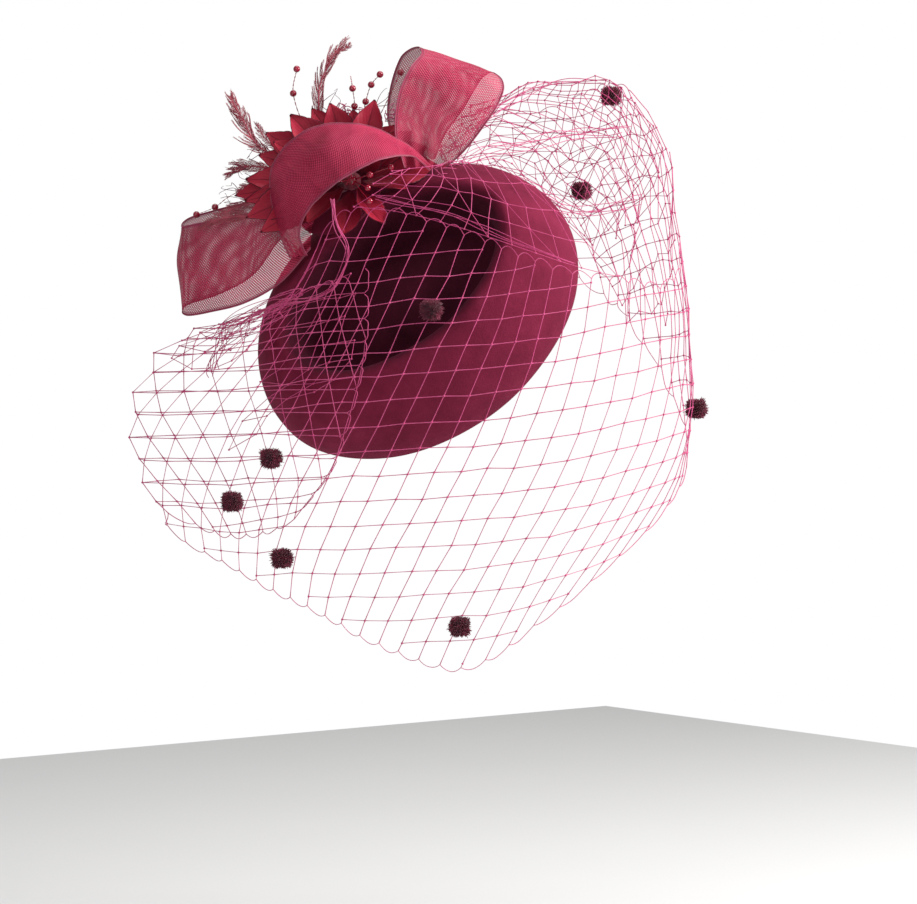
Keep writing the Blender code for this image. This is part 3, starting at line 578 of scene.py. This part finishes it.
# ---- the hat
def loft(name, rings, material, segments, uneven=0.0):
    """The skin through oval rings (a, b, z) in the hat's frame, out of true by up to about uneven mm."""
    rings = np.asarray(rings, float)
    turn = np.arange(segments + 1) * 2 * np.pi / segments
    a, b, z = rings[:, 0:1], rings[:, 1:2], rings[:, 2:3]
    k = np.arange(len(rings))[:, None]
    swell = 0.5 * np.sin(3 * turn + 0.05 * k) + 0.35 * np.sin(5 * turn - 0.04 * k + 1.0)
    swell = uneven * (swell + 0.25 * np.sin(9 * turn + 2.0)) * np.minimum(1, a / 40)
    points = hat((a + swell) * np.cos(turn), (b + swell) * np.sin(turn), z + 0.6 * swell * np.cos(2 * turn))
    down = np.cumsum(np.concatenate([[0], np.linalg.norm(np.diff(rings, axis=0), axis=1)]))
    uv = np.stack(np.broadcast_arrays(turn[None] * 78 * MM, down[:, None] * MM), -1)
    return grid_object(name, points, material, uv)


def smooth_rings(rings, top, count):
    """The rings closed by two small ones at the height top, and made count rings."""
    rows = [*rings, (7.0, 4.0, top + 0.1), (0.01, 0.01, top)]
    return catmull(rows, np.linspace(0, len(rows) - 1, count))


def make_hat():
    outer = smooth_rings(FELT_OUTER, 36.0, 100)
    inner = smooth_rings(FELT_INNER, 33.0, 80)
    rim = [(91.6, 72.6, -0.75), (92.6, 73.6, -1.0), (93.6, 74.5, -0.6)]
    skin = np.concatenate([inner[::-1], rim, outer])
    up = np.concatenate([[0], np.cumsum(np.linalg.norm(np.diff(skin, axis=0), axis=1))])
    ridge = up[len(inner) + len(rim) + outer[:, 2].argmax()] * MM
    # the hat's felt carries painted shade in the dish past the ridge
    settle(loft("felt_hat", skin, felt_material("hat_felt", ridge), 200, 0.5), "felt_shell")
    cloth = np.concatenate([smooth_rings(LINING_INNER, 31.3, 50)[::-1], smooth_rings(LINING_OUTER, 32.2, 50)])
    settle(loft("lining_cloth_shell", cloth, LINING, 144), "crown_lining")
    band = [(89.0, 69.6, 2.4), (89.3, 69.9, 2.0), (90.0, 70.6, 2.4)]
    band += [(89.2, 69.6, 12.4), (88.6, 69.1, 12.8), (88.2, 68.6, 12.4), band[0]]
    settle(loft("sweat_ribbon", band, RIBBON, 180), "sweatband")
    lines = []
    for start in np.linspace(0, 2 * np.pi, 126)[:-1:2]:  # running stitches that hold the ribbon
        turn = np.linspace(start, start + 0.034, 5)
        lift = 0.35 * np.sin(np.linspace(0, np.pi, 5))
        lines.append(hat((88.35 - lift) * np.cos(turn), (68.75 - lift) * np.sin(turn), np.full(5, 11.2)))
    points, faces = tubes(lines, 0.16, 5)
    settle(mesh_object("ribbon_stitches", world(points), faces, STITCH))


# ---- crinoline loops
def make_loop(side, stations, seed):
    """A loop of ribbon: slow waves all over, folds where its feet are pinched, a cord along each edge."""
    name = "crin_" + side
    grid = surface(stations, 200, 44)
    n = normals_of(grid)
    along = arc_lengths(grid, 0).mean(1)
    t = np.linspace(0, 1, grid.shape[0])[:, None]
    v = np.linspace(-1, 1, grid.shape[1])[None]
    pinch = np.exp(-((t / 0.09) ** 2)) + np.exp(-(((1 - t) / 0.09) ** 2))
    r = np.random.default_rng(seed)
    wave = sum(
        a * np.sin(2 * np.pi * (f * t + g * v) + r.uniform(0, 6.3))
        for a, f, g in ((0.35, 2.3, 0.35), (0.22, 5.1, 0.2), (0.12, 11.0, 0.6), (0.25, 1.2, 0.9))
    )
    folds = 1.3 * pinch * np.sin(v * np.pi * 3.2 + seed)
    grid = grid + n * (wave + folds)[..., None]
    uv = np.stack(np.broadcast_arrays(along[:, None] * MM, (v + 1) * CRIN_WIDTH / 2), -1)
    sheet = grid_object(name, grid, CRIN, uv)
    settle(sheet, "crin_loop_" + side)
    edges = grid[:, 0], grid[:, -1]
    beside = grid[:, 1] * 0.6 + grid[:, 2] * 0.4, grid[:, -2] * 0.6 + grid[:, -3] * 0.4
    points, faces = join_parts([tubes(edges, 0.32, 6), tubes(beside, 0.16, 4)])
    cord = mesh_object(name + "_edges", world(points), faces, CRIN_CORD)
    settle(cord)


# ---- flower
def make_petal(name, middle, reach, leaf, lift, facing, seed):
    """A petal from reach mm off the middle to its tip: creased, cupped, toothed and a little twisted."""
    tip, width, drop = leaf
    r = np.random.default_rng(seed)
    tip, facing = np.array(tip, float), np.array(facing, float)
    base = middle + unit(tip - middle) * reach + (0, 0, drop)
    ahead = unit(tip - base)
    facing = unit(facing - ahead * (facing @ ahead))
    side = np.cross(ahead, facing)
    t = np.linspace(0, 1, 67)[:, None, None]
    v = np.linspace(-1, 1, 19)[None, :, None]
    w = np.interp(t, *np.transpose(PETAL_OUTLINE))
    w = np.convolve(np.pad(w.ravel(), 2, mode="edge"), np.ones(5) / 5, "valid")[:, None, None]
    w[-1] = 0.03
    bend = lift * np.sin(np.pi * t) + r.uniform(-1.5, 2.2) * t**3
    sway = r.uniform(-1.3, 1.3) * np.sin(np.pi * t * 0.9)
    w = w * (1 + 0.055 * np.abs(v) ** 6 * np.abs(np.sin(np.pi * 11 * t)) ** 0.6 * (t > 0.3))
    cup = width * 0.17 * w * v**2
    ruffle = np.sin(2 * np.pi * (r.uniform(1.6, 2.4) * t + 0.3 * v) + r.uniform(0, 6.3))
    ruffle = (0.35 + 0.5 * t) * np.abs(v) ** 3 * ruffle
    crease = -0.55 * np.exp(-((v / 0.12) ** 2)) * np.sin(np.pi * np.minimum(1, t * 1.05))
    twist = r.uniform(-0.16, 0.16) * t * width * 0.5 * w * v
    out = bend + cup + ruffle + crease + twist
    points = base + (tip - base) * t + facing * out + side * (sway + width * 0.5 * w * v)
    uv = np.stack(np.broadcast_arrays(t[..., 0], (v[..., 0] + 1) / 2), -1)
    petal = grid_object("satin_" + name, points, PETAL, uv)
    skin = petal.modifiers.new("thickness", "SOLIDIFY")
    skin.thickness = 0.00035
    skin.offset = 0
    settle(petal, node_of(name))


def make_flower():
    for kind, leaves, facings, middle, reach, lift, seed in (
        ("petal_outer", OUTER_PETALS, [(0, 0.2, 1)] * len(OUTER_PETALS), FLOWER, 7.4, 2.5, 39),
        ("leaf", UNDER_PETALS, [(0, 0.3, 1)] * len(UNDER_PETALS), FLOWER, 8.4, 2.0, 89),
        ("petal_inner", INNER_PETALS, INNER_FACING, FLOWER + (0, 0, 5), 6.6, -1.2, 59),
    ):
        for k, (leaf, facing) in enumerate(zip(leaves, facings), 1):
            make_petal(f"{kind}_{k}", middle, reach, leaf, lift, facing, seed + k)
    cap = np.array((-35.5, 72.2, 38.0))
    lines = []
    for bead in STAMENS:
        elbow = cap + (np.array(bead, float) - cap) * 0.55 + (0, 0, 1.5)
        lines.append(catmull([cap, elbow, bead], np.linspace(0, 2, 9)))
    seeds = cap + rng.normal(0, 1.5, (26, 3)) + (0, 0, 1.4)
    parts = [balls([cap], 2.5, 3), tubes(lines, 0.3, 6), balls(STAMENS, 1.75, 3), balls(seeds, 0.6, 2)]
    points, faces = join_parts(parts)
    settle(mesh_object("stamen_beads", world(points), faces, BEAD), "flower_stamens")


def make_sprays():
    for side, (path, beads) in SPRAYS.items():
        name = "bead_spray_" + side
        path = np.array(path, float)
        line = catmull(path, np.linspace(0, len(path) - 1, 9 * len(path)))
        wires = [line]
        for k in range(2):  # the two thinner filaments that twist round the first
            turn = np.linspace(0, 2 * np.pi * 9, len(line)) + k * np.pi
            wires.append(line + np.stack([0.28 * np.cos(turn), 0.1 * np.sin(turn), 0.28 * np.sin(turn)], 1))
        twist = tubes(wires, np.array([[0.13], [0.08], [0.08]]), 5)
        points, faces = join_parts([twist, balls(path[list(beads)], 1.85, 4)])
        settle(mesh_object(name + "_gloss", world(points), faces, BEAD), name)


def make_feather(looks, path):
    """A shaft with barbs on each side that cling together in pointed clumps, sweeping toward its tip."""
    name, width, clumps, quill, sweep, seed = looks
    r = np.random.default_rng(seed)
    count = 60
    line = catmull(path, np.linspace(0, len(path) - 1, count))
    ahead = unit(np.gradient(line, axis=0))
    side = unit(np.cross(ahead, (0.15, 0.1, 1.0)))
    face = np.cross(side, ahead)
    barbs = []
    q = np.linspace(0, 1, 8)[:, None]
    for sign in (-1, 1):
        for c in range(clumps):
            t = 0.05 + 0.93 * (c + r.uniform(-0.3, 0.3)) / clumps
            size = 0.5 + 0.6 * math.sin(math.pi * min(1, 0.1 + 0.9 * t) ** 0.8)
            size = width * size * r.uniform(0.7, 1.25) * (1 - 0.5 * t**2)
            lean = sweep * r.uniform(0.9, 1.5)
            lift = r.normal(0, 0.2)
            members = r.integers(9, 14)
            k = min(int(t * (count - 1)), count - 1)
            tip = line[k] + side[k] * sign * size * 0.62 + ahead[k] * size * lean + face[k] * size * lift
            for m in range(members):
                at = np.clip(t + (m / members - 0.5) * 1.5 / clumps, 0.02, 0.985) * (count - 1)
                i = int(at)
                root = line[i] * (1 - at + i) + line[min(i + 1, count - 1)] * (at - i)
                end = tip + r.normal(0, 0.22, 3)
                bow = side[k] * sign * size * 0.16 + r.normal(0, 0.12, 3)
                barbs.append(root * (1 - q) + end * q + bow * np.sin(np.pi * q))
    shaft = tubes([line], np.linspace(quill, 0.12, count)[None], 7)
    points, faces = join_parts([shaft, tubes(barbs, np.linspace(0.09, 0.04, 8)[None], 3)])
    settle(mesh_object(name + "_plume", world(points), faces, PLUME), node_of(name))


def make_tendrils():
    """Fine dark threads that curl out between the petals, and tufts of looped net behind them."""
    r = np.random.default_rng(5)
    lines = []
    for ends in TENDRILS:
        root, tip = np.array(ends, float)
        for _ in range(3):
            end = tip + r.normal(0, 2.2, 3)
            mid = (root + end) / 2 + r.normal(0, 2.0, 3)
            hook = end + r.normal(0, 1.8, 3)
            lines.append(catmull([root, mid, end, hook], np.linspace(0, 3, 14)))
    points, faces = tubes(lines, np.linspace(0.2, 0.1, 14)[None], 4)
    settle(mesh_object("curled_threads", world(points), faces, STITCH))
    loops = []
    for centre, reach, count in TUFTS:
        for _ in range(count):
            at = np.array(centre) + r.normal(0, reach * 0.32, 3)
            a, b = r.normal(0, 1, 3), r.normal(0, 1, 3)
            a = unit(a)
            b = unit(b - a * (a @ b))
            turn = np.linspace(0, r.uniform(3.4, 5.6), 14)[:, None]
            size = r.uniform(1.8, 3.4)
            loops.append(at + (a * np.cos(turn) + b * np.sin(turn) * 1.3) * size)
    points, faces = tubes(loops, 0.24, 4)
    settle(mesh_object("net_tufts", world(points), faces, NET))


# ---- the net veil
class Net:
    """The strip as (s, p): s along it from the cut end, and p up it from the level line, in millimetres."""

    def __init__(self):
        self.grid = surface(VEIL, 240, 72)
        self.normal = normals_of(self.grid)
        self.down = arc_lengths(self.grid, 1)
        self.column = np.arange(len(self.grid)) * (len(VEIL) - 1) / (len(self.grid) - 1)
        a = self.grid[..., 0]
        level = -78 + 0.07 * (a - 30) + 0.0008 * np.clip(a - 30, 0, 110) ** 2
        above = self.grid[..., 1] - level
        top, where = [], []
        for i, column in enumerate(self.grid):
            below = np.nonzero(above[i] < 0)[0]
            if len(below) and below[0] > 0:
                j = below[0]
                f = above[i, j - 1] / (above[i, j - 1] - above[i, j])
                top.append(self.down[i, j - 1] * (1 - f) + self.down[i, j] * f)
                where.append(column[j - 1] * (1 - f) + column[j] * f)
            else:
                top.append(self.down[i, -1] + above[i, -1])
                where.append(column[-1])
        self.top = np.convolve(np.pad(top, 4, mode="edge"), np.ones(9) / 9, "valid")
        self.hem = self.top - self.down[:, -1]
        where = np.array(where)
        step = np.linalg.norm(np.diff(where, axis=0), axis=1)
        drawn = np.maximum(1.08 * np.abs(np.diff(where[:, 0])), 0.6 * step)
        step = np.where(self.column[:-1] < 6.4, drawn, step)  # the fold at the left pulls its cells wide
        self.s = np.concatenate([[0], np.cumsum(step)])
        self.length = self.s[-1]
        self.turn, self.far, self.back = np.interp((3.0, 12.6, 16.2), self.column, self.s)

    def inside(self, s, p, top=5.0, hem=3.0, cut=2.0):
        if not cut < s < self.length - cut:
            return False
        return np.interp(s, self.s, self.hem) + hem < p < np.interp(s, self.s, self.top) - top

    def fold(self, s, down, out):
        """A point down mm below the top edge and out mm inside the net, where the net doubles over."""
        point = self.at(s, float(np.interp(s, self.s, self.top)) - down)
        inward = unit(np.array((20.0, 20.0, -20.0)) - point)
        v = np.array(noise.noise_vector(Vector((s * 0.021, down * 0.024, 40.0))))
        return point + inward * out + v * min(9.0, 1.5 + 0.16 * down)

    def at(self, s, p):
        """The point at (s, p). It strays from an even drape, and more so where the net was gathered."""
        i = float(np.interp(s, self.s, np.arange(len(self.s))))
        i0 = min(int(i), len(self.grid) - 2)
        f = i - i0
        down = self.down[i0] * (1 - f) + self.down[i0 + 1] * f
        d = self.top[i0] * (1 - f) + self.top[i0 + 1] * f - p
        j = float(np.interp(d, down, np.arange(len(down))))
        j0 = min(int(j), len(down) - 2)
        g = j - j0
        over = max(0.0, d - down[-1]) - max(0.0, -d)
        cell = self.grid[i0 : i0 + 2, j0 : j0 + 2]
        weight = np.array([[(1 - f) * (1 - g), (1 - f) * g], [f * (1 - g), f * g]])[..., None]
        point = (cell * weight).sum((0, 1)) + unit(cell[0, 1] - cell[0, 0]) * over
        loose = np.interp(s, (self.far - 60, self.far + 60), (1.3, 5.5))
        v = noise.noise_vector(Vector((s * 0.028, p * 0.028, 3.7)))
        w = noise.noise_vector(Vector((s * 0.11, p * 0.11, 9.1)))
        return point + np.array(v) * loose + np.array(w) * 0.3


def net_runs(net):
    """Straight runs between knots, the knots, and the scallops that link the runs' ends, all as (s, p)."""
    runs, scallops, place = [], [], {}
    rows = range(-12, 16)
    for m in rows:
        for n in range(-16, int(net.length / MESH_PITCH) + 16):
            s, p = n * MESH_PITCH + 4.0 + 0.5 * m * MESH_ROW, m * MESH_ROW
            if net.inside(s, p):
                place[m, n] = (s + rng.normal(0, 0.35), p + rng.normal(0, 0.3))
    for (m, n), here in place.items():
        runs += [(here, place[key]) for key in ((m, n + 1), (m + 1, n)) if key in place]
    for up in (1, -1):  # the strands that stop at a long edge, each drawn on to it
        ends = {}
        for (m, n), (s, p) in place.items():
            if (m + up, n) in place:
                continue
            step = 0
            while step < 13 and net.inside(s + 0.5 * up, p + up, 3.2, 2.0, 1.0):
                s, p, step = s + 0.5 * up, p + up, step + 1
            if step > 1:
                runs.append((place[m, n], (s, p)))
            ends.setdefault(n, []).append((s, p, m))
        last = {n: max(found, key=lambda end: end[2] * up)[:2] for n, found in ends.items()}
        for n, end in last.items():
            if n + 1 in last and math.dist(end, last[n + 1]) < 34:
                bulge = (0, (3.4 if up > 0 else 2.6) * up)
                scallops.append((end, np.add(end, last[n + 1]) / 2 + bulge, last[n + 1]))
    for m in rows:  # the rows that stop at a cut end
        found = sorted(n for mm, n in place if mm == m)
        for n, edge, inward in ((found[0], 1.0, 2), (found[-1], net.length - 1.0, -2)) if found else ():
            last = place[m, n]
            if abs(last[0] - edge) < 24:
                end = (edge + inward, last[1])
                runs.append((last, end))
                if m + 1 in [mm for mm, _ in place]:
                    bulge = (edge - 1.75 * inward, end[1] + MESH_ROW / 2)
                    scallops.append((end, bulge, (end[0], end[1] + MESH_ROW)))
    return runs, list(place.values()), scallops


def strand(start, end):
    """The points of a thread pulled straight between two knots."""
    return [start * (1 - q) + end * q for q in (0, 0.25, 0.5, 0.75, 1)]


def doubled_net(net, start, end, least, more, push, seed):
    """The lattice of a stretch that doubles over the top edge and hangs crumpled inside the rest.

    It hangs least mm down at its start and more mm further from 60 mm on. push is how fast it leaves the net.
    """
    r = np.random.default_rng(seed)
    pitch, row = 13.0, 11.5
    place = {}
    for m in range(int((least + more) / row) + 1):
        for n in range(-6, int((end - start) / pitch) + 8):
            s = start + n * pitch + 0.5 * m * row
            down = m * row + 1.5
            if start < s < end and down < least + more * min(1, (s - start) / 60):
                place[m, n] = (s + r.normal(0, 1.4), down + r.normal(0, 1.2))
    runs, ties = [], []
    for (m, n), (s, down) in place.items():
        ties.append(net.fold(s, down, 3.0 + push * down))
        for key in ((m, n + 1), (m + 1, n)):
            if key in place:
                s1, down1 = place[key]
                runs.append(strand(ties[-1], net.fold(s1, down1, 3.0 + push * down1)))
    return runs, ties


def gathered(points, count, spread, seed, samples=40):
    """Loose strands that run side by side along a line, crossing each other as gathered net does."""
    r = np.random.default_rng(seed)
    line = catmull(points, np.linspace(0, len(points) - 1, samples))
    t = np.linspace(0, 1, samples)[:, None]
    out = []
    for _ in range(count):
        sway = 0
        for k in range(1, 5):
            size = r.normal(0, spread / (k + 1) ** 0.7, 3)
            sway = sway + size * np.sin(np.pi * (k + r.uniform(0, 1)) * t + r.uniform(0, 6.3))
        out.append(line + sway * 0.6 + r.normal(0, spread * 0.5, 3))
    return out


def net_fan():
    """The lattice that runs on from the near net's top edge, over the dish and the ridge, up to the trim."""
    edge = catmull(FAN_EDGE, np.linspace(0, len(FAN_EDGE) - 1, 61))
    foot = catmull(FAN_FOOT, np.linspace(0, len(FAN_FOOT) - 1, 61))
    length = np.linalg.norm(np.diff(edge, axis=0), axis=1).cumsum()[-1]
    pitch, rows = 12.5, 4

    def point(s, m):
        u, v = np.clip(s / length, 0, 1) * 60, m / rows * 0.96
        low, high = catmull(edge, [u])[0], catmull(foot, [u])[0]
        sway = np.array(noise.noise_vector(Vector((s * 0.05, v * 2.2, 20.0)))) * 2.6
        belly = np.array((0.25, 0.45, 0.8)) * 7.0 * math.sin(math.pi * v)
        return low + (high - low) * v + belly + sway * min(1.0, 4 * v)

    runs, ties = [], []
    for n in range(-3, int(length / pitch) + 2):
        for m in range(rows + 1):
            s = (n + 0.5 * m) * pitch
            if not 0 <= s <= length:
                continue
            ties.append(point(s, m))
            for ds, up in ((pitch, 0), (pitch / 2, 1), (-pitch / 2, 1)):
                beyond = m + up > rows or not 0 <= s + ds <= length
                if not beyond and (ds > 0 or (n + m) % 3 == 0):
                    runs.append(strand(ties[-1], point(s + ds, m + up)))
    return runs, ties


def make_veil():
    net = Net()
    runs, knots, scallops = net_runs(net)
    straight = [strand(net.at(*start), net.at(*end)) for start, end in runs]
    curved = []
    for first, middle, last in np.array(scallops):
        pull = middle * 2 - (first + last) / 2
        arc = (first * (1 - q) ** 2 + pull * (2 * q * (1 - q)) + last * (q * q) for q in np.linspace(0, 1, 9))
        curved.append([net.at(*place) for place in arc])
    thick = 0.215
    swell = np.array([1.35, 1.0, 0.95, 1.0, 1.35]) * thick
    parts = [tubes(straight, swell[None]), tubes(curved, thick * 1.05)]
    parts.append(balls([net.at(*knot) for knot in knots], 0.66))
    doubled = (
        doubled_net(net, net.far - 34, net.back, 34, 84, 0.24, 31),
        doubled_net(net, net.far + 10, net.back + 30, 40, 60, 0.42, 32),
        doubled_net(net, net.turn - 58, net.turn + 62, 26, 22, 0.12, 33),
        doubled_net(net, 6.0, 66.0, 60, 46, 0.03, 34),
    )
    for runs_on, ties in (*doubled, net_fan()):
        parts += [tubes(runs_on, thick * 0.95), balls(ties, 0.6)]
    for k, (line, count, spread) in enumerate(GATHERS):
        parts.append(tubes(gathered(line, count, spread, 200 + k), thick))
    points, faces = join_parts(parts)
    veil = mesh_object("veil_mesh", world(points), faces, NET)
    settle(veil, "veil_net")
    return net


def make_dots(net):
    """Chenille dots: short fibres on a soft core, a little square, each held in the net."""
    core, reach_out, count = 2.6, 5.2, 2600
    for k, (place, (a, u), near) in enumerate(DOTS):
        name = "veil_dot_" + place
        gap = (net.grid[..., 0] - a) ** 2 + (net.grid[..., 1] - u) ** 2
        gap[(net.column < 4) | ((net.column < 12.4) != near)] = 1e9
        i, j = np.unravel_index(gap.argmin(), gap.shape)
        outward = net.normal[i, j]
        outward = outward * np.sign(outward @ (net.grid[i, j] - (0, -40, -35)))
        centre = world(net.grid[i, j] + outward * 2.5) / MM
        r = np.random.default_rng(300 + k)
        way = unit(r.normal(0, 1, (count, 3)))
        turned = way @ np.array(Matrix.Rotation(r.uniform(-0.5, 0.5), 3, "Z"))
        square = 0.84 / np.maximum(np.abs(turned).max(1, keepdims=True), 0.74)
        lump = 0.35 * np.sin(way @ r.normal(0, 4.0, (3, 1)))
        reach = reach_out * square * r.uniform(0.9, 1.04, (count, 1)) + lump
        lean = r.normal(0, 0.7, (count, 3))
        half = centre + way * (core + (reach - core) * 0.6) + lean * 0.4
        fibres = np.stack([centre + way * core, half, centre + way * reach + lean * 0.8], 1)
        pile = tubes(fibres, np.array([[0.24, 0.22, 0.14]]), 3, centre)
        points, faces = join_parts([pile, balls([centre], 4.0, 3)])
        settle(mesh_object(name + "_pile", points * MM, faces, PILE), name)


def dress_cad():
    """The hard pieces keep their CAD shape and take a softened edge and a worked surface."""
    looks = (
        ("hair_comb", COMB, 0.35, "comb"),
        ("hem_wire", WIRE, 0, "steel_wire"),
        ("trim_base", FELT, 0.4, "felt"),
        ("stem_binding", STITCH, 0, "ribbon"),
        ("flower_core", PETAL_CORE, 0, "petals"),
    )
    for side in ("front", "back"):
        looks += tuple((f"clip_{side}_{part}", STEEL, 0.12, "clip_steel") for part in ("base", "jaw"))
        looks += tuple((f"clip_{side}_{part}", WIRE, 0, "steel_wire") for part in ("pin", "spring"))
        looks += ((f"clip_{side}_tab", FELT, 0.3, "felt"),)
    for name, material, edge, slot in looks:
        node = NODES[name]
        node.data.materials.clear()
        node.data.materials.append(material)
        if edge:
            bevel = node.modifiers.new("edge", "BEVEL")
            bevel.width = edge * MM
            bevel.segments = 2
            bevel.limit_method = "ANGLE"
            bevel.angle_limit = math.radians(40)
        if name in ("flower_core", "stem_binding", "clip_front_spring", "clip_back_spring", "hem_wire"):
            for polygon in node.data.polygons:
                polygon.use_smooth = True


def aim(obj, place, target):
    """Puts a lamp or the camera at a place and turns it to a target, both in dressed millimetres."""
    obj.location = Vector(world(place))
    obj.rotation_mode = "QUATERNION"
    obj.rotation_quaternion = (Vector(world(target)) - obj.location).to_track_quat("-Z", "Y")
    bpy.context.scene.collection.objects.link(obj)


def studio():
    scene = bpy.context.scene
    scene.view_settings.view_transform = "Standard"
    scene.world = bpy.data.worlds.new("studio")
    scene.world.use_nodes = True
    tree = scene.world.node_tree
    sky = tree.nodes["Background"]
    sky.inputs[0].default_value = (1, 1, 1, 1)
    seen = tree.nodes.new("ShaderNodeLightPath")
    power = tree.nodes.new("ShaderNodeMapRange")  # a white ground to look at, and a softer light from it
    power.inputs["To Min"].default_value = 0.27
    tree.links.new(seen.outputs["Is Camera Ray"], power.inputs["Value"])
    tree.links.new(power.outputs["Result"], sky.inputs[1])
    for name, place, size, watts, colour in (
        ("key", (1150, 640, 240), 0.5, 27, (1.0, 0.99, 0.97)),
        ("fill", (-420, 380, 1150), 0.9, 3.5, (0.98, 0.99, 1.0)),
        ("top", (100, 1300, -60), 0.9, 7, (1.0, 1.0, 1.0)),
    ):
        data = bpy.data.lights.new(name, "AREA")
        data.size, data.energy, data.color = size, watts, colour
        lamp = bpy.data.objects.new(name, data)
        aim(lamp, place, (0, -20, 0))
    paint = Paint("floor")
    paint.put("Base Color", paint.colours(paint.noise(3), [(0.0, (0.72,) * 3), (1.0, (0.76,) * 3)]))
    paint.put("Roughness", 0.9)
    half, level = 0.8, -0.335
    corners = [(x * half, y * half, level) for x, y in ((-1, -1), (1, -1), (1, 1), (-1, 1))]
    floor = mesh_object("floor", corners, [[0, 1, 2, 3]], paint.mat, smooth=False)
    data = bpy.data.cameras.new("camera")
    data.lens = 174.5
    camera = bpy.data.objects.new("camera", data)
    rise, away = math.radians(3.0), 2400.0
    target = np.array((20.8, -74.0, 0.0))
    aim(camera, target + (0, away * math.sin(rise), away * math.cos(rise)), target)
    scene.camera = camera


make_hat()
make_loop("left", LEFT_LOOP, 1)
make_loop("centre", CENTRE_LOOP, 2)
make_loop("right", RIGHT_LOOP, 3)
make_flower()
make_sprays()
for plume in PLUMES:
    make_feather(*plume)
make_tendrils()
make_dots(make_veil())
dress_cad()
studio()
